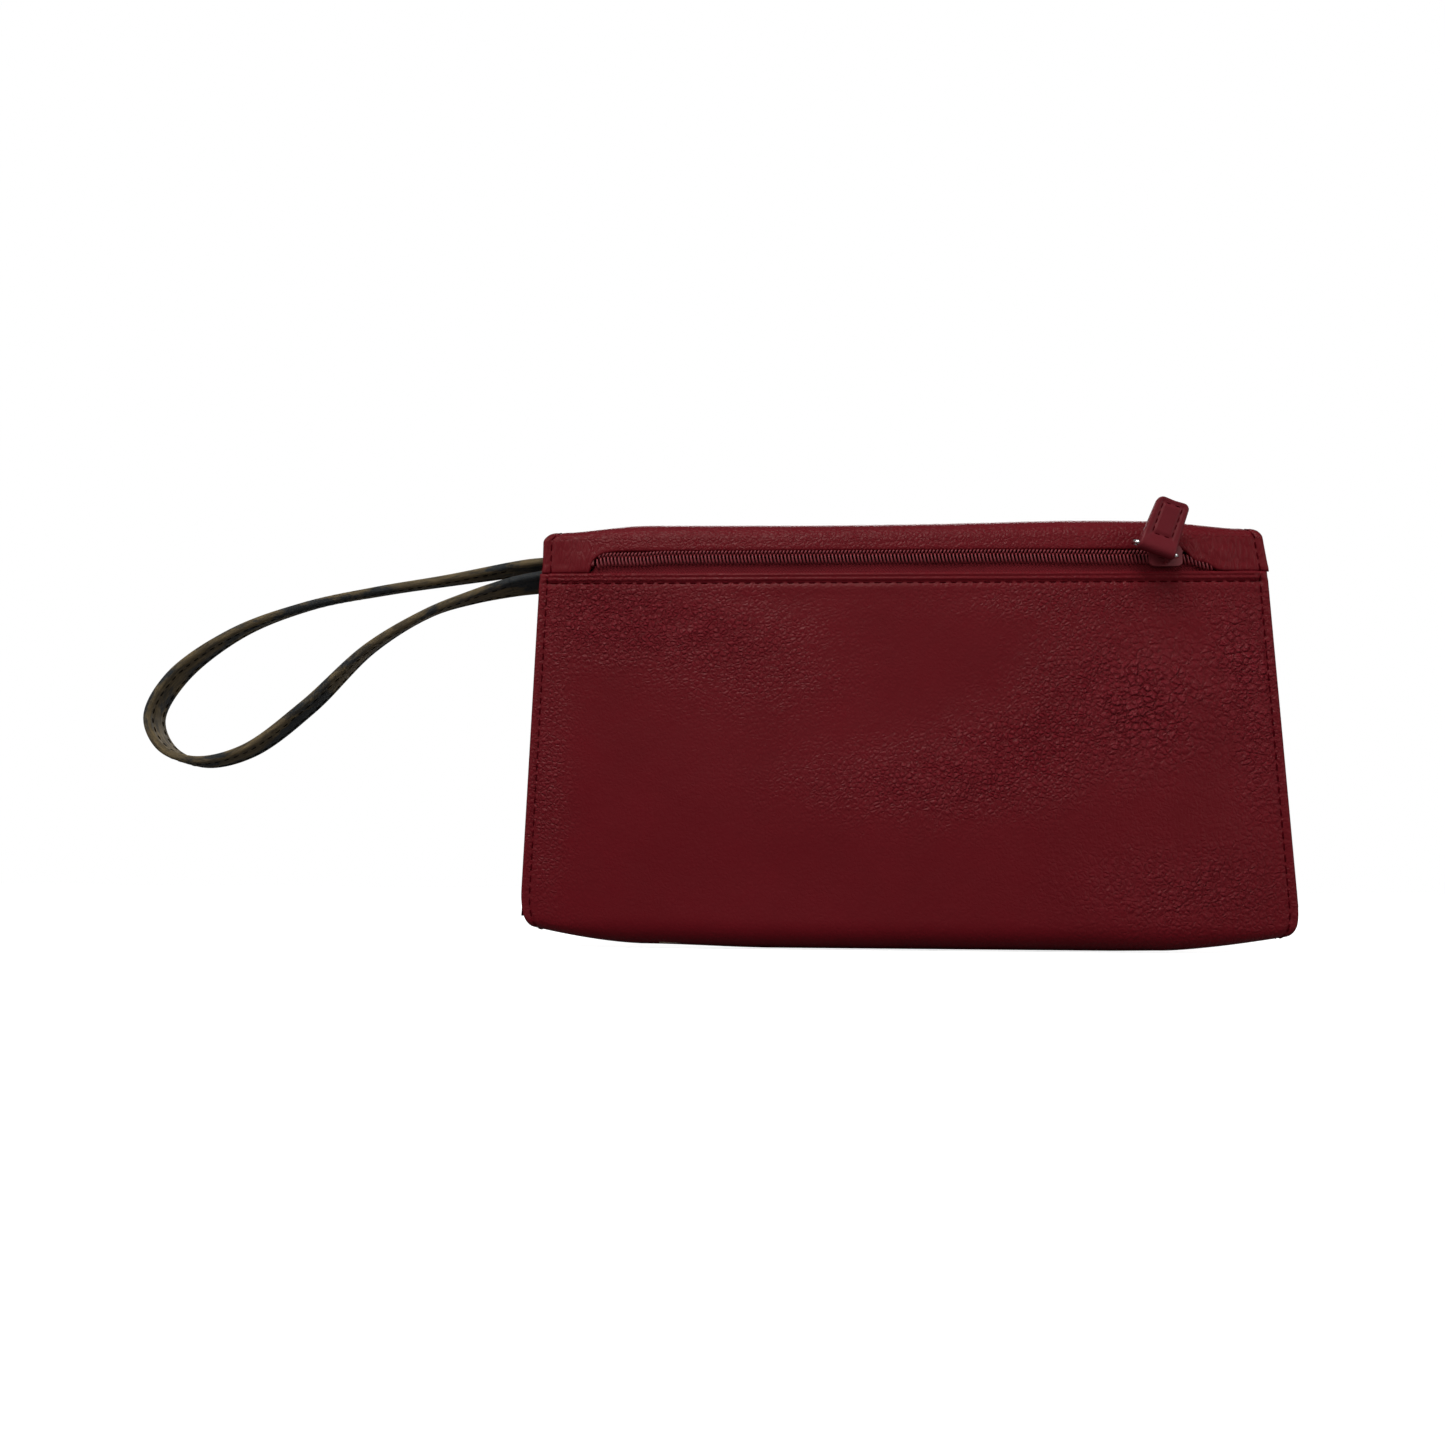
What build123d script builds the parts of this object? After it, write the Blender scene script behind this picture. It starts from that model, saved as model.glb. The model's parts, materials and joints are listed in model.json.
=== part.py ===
"""A wristlet wallet: a soft trapezoid clutch with a zip pocket on its rear face, a full flap with a
magnetic snap on its front face, an inner compartment with card pockets, and a wrist strap sewn into its
left side.

Millimetres, +Z up. X runs across the wallet, the zip faces -Y and the flap faces +Y. The origin is the
middle of the flat strip that the wallet stands on. Every piece is a closed solid in parts/NAME.step.
"""

from build123d import *
from math import cos, radians, sin
import os

# Overall form
FOLD_AXIS_Z = 125.2  # centre of the round fold that the flap turns about
FOLD_RADIUS = 6.5  # outer radius of that fold
HALF_TOP = 112.2  # half width at the fold
HALF_BOTTOM = 115.2  # half width at the bottom corners
CORNER_RADIUS = 7.0  # bottom corners of the body
SIDE_Y = 4.2  # outer face of both walls where they are sewn at the sides
REAR_MID_BOTTOM_Y = 9.0  # crown of the rear wall above the base
FRONT_MID_BOTTOM_Y = 10.0  # crown of the front wall above the base
FRONT_TOP_Y = 5.8  # outer face of the front wall at the mouth, straight across
BASE_TOP_Z = 8.0  # where the base tray turns into the walls
BASE_HALF_LENGTH = 88.0
BASE_HALF_DEPTH = 6.5

FRONT_HINGE_Y = 9.0  # where the front wall bends as the mouth opens
FRONT_HINGE_Z = 9.0
FRONT_BEAD_RADIUS = 0.85
FRONT_BEAD_HALF = 24.0

# Sheet goods
LEATHER = 1.2
LINING = 0.4
GUSSET = 0.8
LAYER_GAP = 0.1  # between sheets that lie on each other

# Zip
ZIP_Z = 119.4  # centre line of the chain
ZIP_WINDOW_LOW_Z = 115.3  # folded top edge of the rear panel
ZIP_WINDOW_HIGH_Z = 121.5  # lower edge of the yoke
ZIP_HALF_LENGTH = 97.0  # end stops
TAPE_HALF_LENGTH = 106.0
TAPE_OUTER_Y = -5.1
TAPE_THICKNESS = 0.5
CHAIN_GAP = 0.6  # between the two coils, where the slider's web runs
COIL_HEIGHT = 1.5
COIL_WIDTH = 1.8

# Slider and pull
SLIDER_X = 80.0
SLIDER_HALF_LENGTH = 5.0
SLIDER_HALF_WIDTH = 3.2
SLIDER_TOP_Y = -7.8
CROWN_HOLE_Y = -8.85  # axis of the wire in the slider's crown
PULL_SKEW = 21.0  # degrees that the pull hangs over from upright
LINK_LEAN = 104.0  # degrees that the link stands out from upright, away from the wallet
LINK_WIDTH = 13.2  # between the centres of the side wires
LINK_HEIGHT = 5.2  # between the centres of the lower and upper wires
LINK_SHIFT = -4.5  # how far the link has slid sideways through the crown
WIRE_RADIUS = 0.65
TAB_WIDTH = 11.2  # at the loop
TAB_END_WIDTH = 9.8
TAB_LENGTH = 15.6  # from the upper wire to the free end
TAB_THICKNESS = 2.4
TAB_LOOP_RADIUS = 1.85
TAB_HOLE_RADIUS = 0.73

# Inner pieces
GUSSET_DEPTH = 12.0  # how far the side folds reach in
GUSSET_TOP_Z = 117.0
FRONT_BOARD = 0.7
INNER_HALF = 98.0
DIVIDER_Y = -2.5  # front face of the divider
DIVIDER_THICKNESS = 0.6
CARD_SHEET = 0.45
CARD_TOPS = (96.0, 84.0, 72.0)
CARD_FLOOR_Z = 30.0
MOUTH_Z = 113.0
BAG_FLOOR_Z = 26.0
BAG_TOP_Z = 107.0

# Flap
FOLD_CLEARANCE = 0.08
FLAP_INNER_Y = 6.65  # at the fold
FLAP_END_Z = 17.0
FLAP_HALF_END = 118.5
FLAP_MID_END_Y = 13.1
FLAP_SIDE_END_Y = 4.6
FLAP_CORNER_RADIUS = 10.0
FLAP_LINING = 0.5
FLAP_STIFFENER = 0.9
FLAP_LEATHER = 1.0
FLAP_GAP = 0.05
FLAP_BOARD_INSET = 3.0  # the stiffener stops short of the sewn edge

# Magnetic snap
SNAP_Z = 34.0
SNAP_TILT = 2.7  # degrees about X, the mean slope of flap and front wall there
SNAP_RADIUS = 7.0
SOCKET_HEIGHT = 2.0
SOCKET_WALL = 0.3
STUD_FLANGE = 0.7
STUD_RADIUS = 2.5
STUD_LENGTH = 1.1
STUD_CLEARANCE = 0.25
PLATE_RADIUS = 6.0
PLATE_THICKNESS = 0.4
PRONG_X = 4.0  # the stud's prongs
SOCKET_PRONG_X = 6.4  # the socket's prongs, outside the magnet
PRONG_WIDTH = 2.0
PRONG_THICKNESS = 0.5

# Wrist strap
STRAP_WIDTH = 10.0
STRAP_THICKNESS = 2.4
STRAP_CORE_THICKNESS = 0.8
STRAP_ROOT_Z = 116.0
TAIL_HALF_HEIGHT = 5.0
FOLD_X = -118.5  # upright axis where the sewn tail flexes
SWING_X = -126.6  # axis across the strap where the loop leaves the neck
NECK_RADIUS = 2.4
EYE_RADIUS = 2.9


def half_width(z, half_end=HALF_BOTTOM, end_z=BASE_TOP_Z):
    """Half width of a tapered panel at height z."""
    share = (FOLD_AXIS_Z - z) / (FOLD_AXIS_Z - end_z)
    return HALF_TOP + (half_end - HALF_TOP) * share


def between(z, low, high):
    """Value at height z on the line through two (z, value) pairs."""
    share = (z - low[0]) / (high[0] - low[0])
    return low[1] + (high[1] - low[1]) * share


def edge(z, half, y_side, y_mid):
    """A level edge across the wallet: an arc, or a line where it isn't crowned."""
    if abs(y_mid - y_side) < 0.01:
        return Line((-half, y_side, z), (half, y_side, z))
    return ThreePointArc((-half, y_side, z), (0, y_mid, z), (half, y_side, z))


def band(z, half, near, far):
    """Level face between two edges, each given as (y at the side, y at the middle)."""
    one = edge(z, half, *near)
    two = edge(z, half, *far)
    ends = [Line(one @ 1, two @ 1), Line(two @ 0, one @ 0)]
    return Face(Wire([one, ends[0], two, ends[1]]))


def crowned_sheet(low, high, thickness):
    """Ruled sheet between two levels given as (z, half width, y at the side, y at the middle).

    Thickness is added along Y, so a negative one grows towards -Y."""
    faces = [
        band(z, half, (side, mid), (side + thickness, mid + thickness))
        for z, half, side, mid in (low, high)
    ]
    return Solid.make_loft([f.outer_wire() for f in faces], ruled=True)


def crowned_block(low, high):
    """Ruled block between two levels given as (z, half width, near edge, far edge)."""
    faces = [band(z, half, near, far) for z, half, near, far in (low, high)]
    return Solid.make_loft([f.outer_wire() for f in faces], ruled=True)


def outline(low_z, high_z, half_low, half_high, corner):
    """Tapered plate across Y, with round lower corners, that trims a panel to shape."""
    points = [(-half_low, low_z), (half_low, low_z), (half_high, high_z), (-half_high, high_z)]
    plate = Plane.XZ * make_face(Polyline(*points, close=True))
    solid = extrude(plate, amount=60, both=True)
    lower = solid.edges().filter_by(Axis.Y).sort_by(Axis.Z)[:2]
    return fillet(lower, corner)


def box(x, y, z):
    """Box from three (low, high) pairs."""
    size = [b - a for a, b in (x, y, z)]
    centre = [(a + b) / 2 for a, b in (x, y, z)]
    return Pos(*centre) * Box(*size)


def one_solid(shape):
    """The single solid that a boolean result should hold."""
    solids = shape.solids()
    assert len(solids) == 1, f"expected one solid, found {len(solids)}"
    return solids[0]


# Shell of the body


def base_tray():
    """Boat-shaped base, flat underneath and rising to both walls, with a recess for its board."""
    rim_z = BASE_TOP_Z
    rim_half = half_width(rim_z)
    depth = BASE_HALF_DEPTH
    outer = crowned_block(
        (0, BASE_HALF_LENGTH, (-depth + 2, -depth), (depth - 2, depth)),
        (rim_z, rim_half, (-SIDE_Y, -REAR_MID_BOTTOM_Y), (SIDE_Y, FRONT_MID_BOTTOM_Y)),
    )
    inner = box((-BASE_HALF_LENGTH + 2, BASE_HALF_LENGTH - 2), (-4.0, 4.5), (LEATHER, rim_z + 1))
    return outer - inner


def base_board():
    """Stiff strip that keeps the base flat."""
    return box((-74, 74), (-3.5, 3.5), (LEATHER + LAYER_GAP, LEATHER + LAYER_GAP + 0.8))


def rear_panel():
    """Rear wall up to the zip, in one piece with the base that it is sunk into."""
    sunk, step = 1.5, 0.1
    foot_half = half_width(BASE_TOP_Z) - 3 * step
    foot = (BASE_TOP_Z - sunk, foot_half, -SIDE_Y + step, -REAR_MID_BOTTOM_Y + step)
    head = (ZIP_WINDOW_LOW_Z, half_width(ZIP_WINDOW_LOW_Z), -FOLD_RADIUS, -FOLD_RADIUS)
    return one_solid(crowned_sheet(foot, head, LEATHER) + base_tray())


def back_yoke():
    """Strip above the zip that rolls over the top and ends under the flap's root."""
    inner = FOLD_RADIUS - LEATHER
    ring = Pos(0, 0, FOLD_AXIS_Z) * Rot(0, 90, 0) * (
        Cylinder(FOLD_RADIUS, 2 * HALF_TOP) - Cylinder(inner, 2 * HALF_TOP)
    )
    upper = box((-HALF_TOP, HALF_TOP), (-20, 20), (FOLD_AXIS_Z, FOLD_AXIS_Z + 20))
    strip = box((-HALF_TOP, HALF_TOP), (-FOLD_RADIUS, -inner), (ZIP_WINDOW_HIGH_Z, FOLD_AXIS_Z))
    return one_solid((ring & upper) + strip)


def front_sheet(inset, thickness, low_z, high_z, half_inset=0.0):
    """Sheet of the front wall whose outer face lies inset inside the wall's outer face."""
    levels = []
    for z in (low_z, high_z):
        mid = between(z, (BASE_TOP_Z, FRONT_MID_BOTTOM_Y), (MOUTH_Z, FRONT_TOP_Y))
        side = between(z, (BASE_TOP_Z, SIDE_Y), (MOUTH_Z, FRONT_TOP_Y))
        levels.append((z, half_width(z), side - inset, mid - inset))
    sheet = crowned_sheet(*levels, -thickness)
    low_half, high_half = HALF_BOTTOM - half_inset, HALF_TOP - half_inset
    trim = outline(0, FOLD_AXIS_Z, low_half, high_half, CORNER_RADIUS)
    return one_solid(sheet & trim)


def front_panel():
    """Front wall, with a short rolled bead on its lower edge that it turns about."""
    wall = front_sheet(0, LEATHER, BASE_TOP_Z + 0.4, MOUTH_Z)
    bead = Rot(0, 90, 0) * Cylinder(FRONT_BEAD_RADIUS, 2 * FRONT_BEAD_HALF)
    return one_solid(wall + Pos(0, FRONT_HINGE_Y, FRONT_HINGE_Z) * bead)


def gusset(side):
    """Side gusset: one sheet folded inwards into a V between the two walls."""
    thin = GUSSET

    def section(z, mouth):
        x = half_width(z) - 0.3
        points = [
            (x, -mouth),
            (x, -mouth + thin),
            (x - GUSSET_DEPTH + 3 * thin, 0),
            (x, mouth - thin),
            (x, mouth),
            (x - GUSSET_DEPTH, 0.4),
            (x - GUSSET_DEPTH, -0.4),
        ]
        return Wire(Polyline(*[(side * px, y, z) for px, y in points], close=True).edges())

    foot = section(BASE_TOP_Z + 1.0, SIDE_Y - LEATHER - LAYER_GAP)
    head = section(GUSSET_TOP_Z, FRONT_TOP_Y - LEATHER - 2 * LAYER_GAP)
    return Solid.make_loft([foot, head], ruled=True)


# Inner pieces


def divider_wall():
    """Stiff wall between the zip pocket and the main compartment."""
    depth = (DIVIDER_Y - DIVIDER_THICKNESS, DIVIDER_Y)
    return box((-INNER_HALF, INNER_HALF), depth, (10.0, FOLD_AXIS_Z - 2))


def card_pocket(tier):
    """One stepped card sheet; tier 0 is the tallest and lies on the divider."""
    low_y = DIVIDER_Y + LAYER_GAP + tier * (CARD_SHEET + LAYER_GAP)
    sheet = box((-94, 94), (low_y, low_y + CARD_SHEET), (CARD_FLOOR_Z, CARD_TOPS[tier]))
    notch = Pos(0, 0, CARD_TOPS[tier]) * Rot(90, 0, 0) * Cylinder(7.0, 20)
    left, right = Pos(-47, 0, 0) * notch, Pos(47, 0, 0) * notch
    return one_solid(sheet - left - right)


def zip_pocket_bag():
    """Fabric bag behind the zip: open at the top, its rear face sewn to the lower tape."""
    front_y = DIVIDER_Y - DIVIDER_THICKNESS - 0.1
    back_y = front_y - LINING
    outer_half = INNER_HALF - 2
    inner_half = outer_half - LINING
    outer = crowned_block(
        (BAG_FLOOR_Z, outer_half, (-3.6, -6.6), (front_y, front_y)),
        (BAG_TOP_Z, outer_half, (-4.9, -4.9), (front_y, front_y)),
    )
    inner = crowned_block(
        (BAG_FLOOR_Z + LINING, inner_half, (-3.6 + LINING, -6.6 + LINING), (back_y, back_y)),
        (BAG_TOP_Z + 1, inner_half, (-4.9 + LINING, -4.9 + LINING), (back_y, back_y)),
    )
    flange = box((-outer_half, outer_half), (back_y, front_y), (BAG_TOP_Z - 1, ZIP_WINDOW_HIGH_Z + 1))
    return one_solid((outer - inner) + flange)


# Zip


def zip_tape(side):
    """Woven tape on one side of the chain; side is +1 above and -1 below."""
    reach = 6.3 if side > 0 else 11.3
    height = sorted((ZIP_Z + side * CHAIN_GAP / 2, ZIP_Z + side * reach))
    depth = (TAPE_OUTER_Y, TAPE_OUTER_Y + TAPE_THICKNESS)
    return box((-TAPE_HALF_LENGTH, TAPE_HALF_LENGTH), depth, height)


def zip_coil(side):
    """Coil of one tape as a round-topped bar, the space that its turns fill."""
    z0 = ZIP_Z + side * CHAIN_GAP / 2
    z1 = z0 + side * COIL_WIDTH
    top = TAPE_OUTER_Y - 0.05
    bar = box((-ZIP_HALF_LENGTH + 1.6, ZIP_HALF_LENGTH - 1.6), (top - COIL_HEIGHT, top), sorted((z0, z1)))
    outer_edges = bar.edges().filter_by(Axis.X).sort_by(Axis.Y)[:2]
    return fillet(outer_edges, 0.6)


def zip_stop(x, z_low, z_high):
    """Small crimped stop around the chain's end."""
    top = TAPE_OUTER_Y - 0.05
    stop = box((x - 1.0, x + 1.0), (top - 1.7, top), (z_low, z_high))
    return fillet(stop.edges().filter_by(Axis.X).sort_by(Axis.Y)[:2], 0.5)


def rounded_plate(half_l, half_w, depth, corner):
    """Plate across Y with round corners."""
    plate = box((-half_l, half_l), depth, (-half_w, half_w))
    return fillet(plate.edges().filter_by(Axis.Y), corner)


def zip_slider():
    """Slider: two plates joined by a thin web, side rails, and a crown that holds the pull's wire."""
    half_l, half_w = SLIDER_HALF_LENGTH, SLIDER_HALF_WIDTH
    plate_inner = SLIDER_TOP_Y + 0.8
    back_y = TAPE_OUTER_Y + TAPE_THICKNESS + 0.2
    outer = rounded_plate(half_l, half_w, (SLIDER_TOP_Y, plate_inner), 1.6)
    inner = rounded_plate(half_l, 2.6, (back_y, back_y + 0.7), 1.2)
    web = box((-half_l + 1.2, half_l - 1.2), (plate_inner - 0.1, back_y + 0.1), (-0.2, 0.2))
    body = outer + inner + web
    bridge_x = (-0.45, 0.45)
    for side in (-1, 1):
        rail_z = sorted((side * (half_w - 0.6), side * half_w))
        body += box((-half_l + 1.8, half_l - 1.8), (plate_inner - 0.1, plate_inner + 0.4), rail_z)
        post_z = sorted((side * 1.6, side * 2.6))
        body += box(bridge_x, (CROWN_HOLE_Y - 1.95, SLIDER_TOP_Y + 0.1), post_z)
    body += box(bridge_x, (CROWN_HOLE_Y - 1.95, CROWN_HOLE_Y - 1.05), (-2.6, 2.6))
    return one_solid(Pos(SLIDER_X, 0, ZIP_Z) * body)


def pull_frame(lean):
    """Location at the slider's crown: X along the wires, Z up the pull, leaning out by lean degrees."""
    crown = Location((SLIDER_X, CROWN_HOLE_Y, ZIP_Z))
    return crown * Location((0, 0, 0), (0, PULL_SKEW, 0)) * Location((0, 0, 0), (lean, 0, 0))


def pull_link():
    """Closed wire loop from the slider's crown to the tab."""
    left, right = LINK_SHIFT - LINK_WIDTH / 2, LINK_SHIFT + LINK_WIDTH / 2
    corners = [(left, 0, 0), (right, 0, 0), (right, 0, LINK_HEIGHT), (left, 0, LINK_HEIGHT)]
    path = FilletPolyline(*corners, radius=1.2, close=True)
    section = Plane(origin=path @ 0, z_dir=path % 0) * Circle(WIRE_RADIUS)
    return one_solid(pull_frame(LINK_LEAN) * sweep(section, path=path))


def pull_tab():
    """Leather tab: one strip folded round the link's upper wire and sewn to itself."""
    root = pull_frame(LINK_LEAN) * Pos(LINK_SHIFT, 0, LINK_HEIGHT) * Rot(-LINK_LEAN, 0, 0)
    eye = Rot(0, 90, 0) * Cylinder(TAB_LOOP_RADIUS, TAB_WIDTH)
    low, high = TAB_WIDTH / 2, TAB_END_WIDTH / 2
    corners = [(-low, 0), (low, 0), (high, TAB_LENGTH), (-high, TAB_LENGTH)]
    face = Plane.XZ * make_face(Polyline(*corners, close=True))
    blade = extrude(face, amount=TAB_THICKNESS / 2, both=True)
    blade = fillet(blade.edges().filter_by(Axis.Y).sort_by(Axis.Z)[-2:], 1.6)
    hole = Rot(0, 90, 0) * Cylinder(TAB_HOLE_RADIUS, TAB_WIDTH + 2)
    return one_solid(root * (eye + blade - hole))


# Flap


def flap_layer(depth, thickness, inset=0.0, end_inset=0.0):
    """Sheet of the flap whose inner face lies depth outside the flap's inner face."""
    end_z = FLAP_END_Z + end_inset
    root = (FOLD_AXIS_Z, HALF_TOP, FLAP_INNER_Y + depth, FLAP_INNER_Y + depth)
    tip = (FLAP_END_Z, FLAP_HALF_END, FLAP_SIDE_END_Y + depth, FLAP_MID_END_Y + depth)
    sheet = crowned_sheet(tip, root, thickness)
    tip_half, root_half = FLAP_HALF_END - inset + 0.05, HALF_TOP - inset
    trim = outline(end_z, FOLD_AXIS_Z + 1, tip_half, root_half, FLAP_CORNER_RADIUS - inset)
    return one_solid(sheet & trim)


def flap_lining():
    """Lining of the flap, with a hem at its root that fits the round of the fold."""
    sheet = flap_layer(0, FLAP_LINING)
    hem = box((-HALF_TOP, HALF_TOP), (4.0, FLAP_INNER_Y + 0.2), (FOLD_AXIS_Z - 3.2, FOLD_AXIS_Z))
    fold = Rot(0, 90, 0) * Cylinder(FOLD_RADIUS + FOLD_CLEARANCE, 400)
    return one_solid(sheet + (hem - Pos(0, 0, FOLD_AXIS_Z) * fold))


# Magnetic snap


def snap_frame(y):
    """Location on the snap's axis at y, with Z along the axis towards the flap."""
    return Location((0, y, SNAP_Z)) * Location((0, 0, 0), (-90 + SNAP_TILT, 0, 0))


def front_face_y():
    """Outer face of the front wall at the snap."""
    return between(SNAP_Z, (BASE_TOP_Z, FRONT_MID_BOTTOM_Y), (MOUTH_Z, FRONT_TOP_Y))


def flap_face_y():
    """Inner face of the flap at the snap."""
    return between(SNAP_Z, (FLAP_END_Z, FLAP_MID_END_Y), (FOLD_AXIS_Z, FLAP_INNER_Y))


def prongs(low, high):
    """Pair of flat prongs."""
    half_w, half_t = PRONG_WIDTH / 2, PRONG_THICKNESS / 2
    return [box((x - half_t, x + half_t), (-half_w, half_w), (low, high)) for x in (-PRONG_X, PRONG_X)]


def rising(radius, height):
    """Cylinder that stands on its origin."""
    return Cylinder(radius, height, align=(Align.CENTER, Align.CENTER, Align.MIN))


def hanging(radius, height):
    """Cylinder that hangs from its origin."""
    return Cylinder(radius, height, align=(Align.CENTER, Align.CENTER, Align.MAX))


def snap_socket():
    """Socket cup on the front wall: a ring-shaped shell round the magnet, with prongs behind."""
    well_r = STUD_RADIUS + STUD_CLEARANCE
    shell = rising(SNAP_RADIUS, SOCKET_HEIGHT)
    shell = fillet(shell.edges().sort_by(Axis.Z)[-1], 0.25)
    cavity = Pos(0, 0, -0.01) * rising(SNAP_RADIUS - SOCKET_WALL, SOCKET_HEIGHT - SOCKET_WALL)
    tube = rising(well_r + SOCKET_WALL, SOCKET_HEIGHT - 0.01)
    well = Pos(0, 0, 0.5) * rising(well_r, SOCKET_HEIGHT)
    body = shell - cavity + tube - well
    for side, prong in zip((-1, 1), prongs(-2.1, SOCKET_HEIGHT - SOCKET_WALL + 0.05)):
        body += Pos(side * (SOCKET_PRONG_X - PRONG_X), 0, 0) * prong
    return one_solid(snap_frame(front_face_y() + 0.15) * body)


def snap_magnet():
    """Ring magnet inside the socket."""
    height = SOCKET_HEIGHT - SOCKET_WALL
    inner = STUD_RADIUS + STUD_CLEARANCE + SOCKET_WALL + 0.1
    outer = SOCKET_PRONG_X - PRONG_THICKNESS / 2 - 0.1
    ring = Cylinder(outer, height - 0.2) - Cylinder(inner, SOCKET_HEIGHT)
    return one_solid(snap_frame(front_face_y() + 0.15) * Pos(0, 0, height / 2) * ring)


def snap_plate(frame, offset, prong_x):
    """Round backing plate that the prongs are bent over."""
    plate = Cylinder(PLATE_RADIUS + 1.6, PLATE_THICKNESS)
    for x in (-prong_x, prong_x):
        plate -= Pos(x, 0, 0) * Box(PRONG_THICKNESS + 0.2, PRONG_WIDTH + 0.2, 2)
    plate -= Cylinder(1.5, 2)
    return one_solid(frame * Pos(0, 0, offset) * plate)


def snap_stud():
    """Stud on the flap's lining: a flange, a plug that enters the socket, and prongs through the flap."""
    flange = hanging(SNAP_RADIUS, STUD_FLANGE)
    flange = fillet(flange.edges().sort_by(Axis.Z)[0], 0.2)
    plug = hanging(STUD_RADIUS, STUD_LENGTH + STUD_FLANGE)
    plug = chamfer(plug.edges().sort_by(Axis.Z)[0], 0.3)
    body = flange + plug
    for prong in prongs(-0.1, FLAP_LINING + FLAP_STIFFENER):
        body += prong
    return one_solid(snap_frame(flap_face_y() - 0.12) * body)


def pierced(sheet, frame, prong_x):
    """The sheet with slots for a snap's prongs."""
    for x in (-prong_x, prong_x):
        slot = Pos(x, 0, 0) * Box(PRONG_THICKNESS + 0.2, PRONG_WIDTH + 0.2, 12)
        sheet = sheet - frame * slot
    return one_solid(sheet)


# Strap


def strap_path():
    """Centre line of the loop in the XZ plane, from the neck out along the top and back underneath."""
    gap = STRAP_THICKNESS / 2 + 0.3
    points = [
        (SWING_X, STRAP_ROOT_Z + gap),
        (-142.5, 114.8),
        (-165.6, 111.1),
        (-188.8, 106.2),
        (-211.7, 97.4),
        (-230.3, 83.0),
        (-236.3, 69.8),
        (-231.5, 60.2),
        (-220.6, 56.0),
        (-205.4, 59.7),
        (-187.0, 74.1),
        (-168.0, 92.6),
        (-149.8, 103.9),
        (SWING_X, STRAP_ROOT_Z - gap),
    ]
    return Spline(*[(x, 0, z) for x, z in points], tangents=[(-1, 0, 0), (1, 0, 0)])


def strap_band(half_thickness, half_width):
    """Solid band along the loop's centre line, its width across the wallet."""
    path = strap_path()
    count = 48
    sides = []
    for offset in (-half_thickness, half_thickness):
        points = []
        for i in range(count + 1):
            tangent = path % (i / count)
            points.append(path @ (i / count) + Vector(tangent.Z, 0, -tangent.X) * offset)
        sides.append(Spline(*points))
    ends = [Line(sides[0] @ 1, sides[1] @ 1), Line(sides[1] @ 0, sides[0] @ 0)]
    face = Face(Wire([sides[0], ends[0], sides[1], ends[1]]))
    return extrude(face, amount=half_width, dir=(0, 1, 0), both=True)


def strap_core():
    """Interlining inside the folded cover."""
    return one_solid(strap_band(STRAP_CORE_THICKNESS / 2, STRAP_WIDTH / 2 - 1.0))


def strap_cover():
    """Printed cover folded round the core, its two ends joined in a round that turns on the neck."""
    cover = strap_band(STRAP_THICKNESS / 2, STRAP_WIDTH / 2)
    hollow = strap_band(STRAP_CORE_THICKNESS / 2 + 0.05, STRAP_WIDTH / 2 - 0.95)
    join = Pos(SWING_X, 0, STRAP_ROOT_Z) * Rot(90, 0, 0) * Cylinder(EYE_RADIUS, STRAP_WIDTH)
    return one_solid(cover + join - hollow)


def strap_neck():
    """Short doubled length of strap between the sewn tail and the loop."""
    high = (STRAP_ROOT_Z - TAIL_HALF_HEIGHT, STRAP_ROOT_Z + TAIL_HALF_HEIGHT)
    barrel = Pos(FOLD_X, 0, STRAP_ROOT_Z) * Cylinder(NECK_RADIUS, 2 * TAIL_HALF_HEIGHT)
    end_x = SWING_X + EYE_RADIUS + 0.2
    throat = box((end_x, FOLD_X), (-NECK_RADIUS, NECK_RADIUS), high)
    plate = box((end_x, FOLD_X - NECK_RADIUS + 0.4), (-STRAP_WIDTH / 2, STRAP_WIDTH / 2), high)
    return one_solid(barrel + throat + plate)


def strap_tail():
    """Strap ends sewn together between the legs of the left gusset."""
    high = (STRAP_ROOT_Z - TAIL_HALF_HEIGHT, STRAP_ROOT_Z + TAIL_HALF_HEIGHT)
    outside = box((FOLD_X + NECK_RADIUS + 0.2, -113.2), (-2.4, 2.4), high)
    inside = box((-114.0, -109.8), (-1.1, 1.1), high)
    return one_solid(outside + inside)


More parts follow.
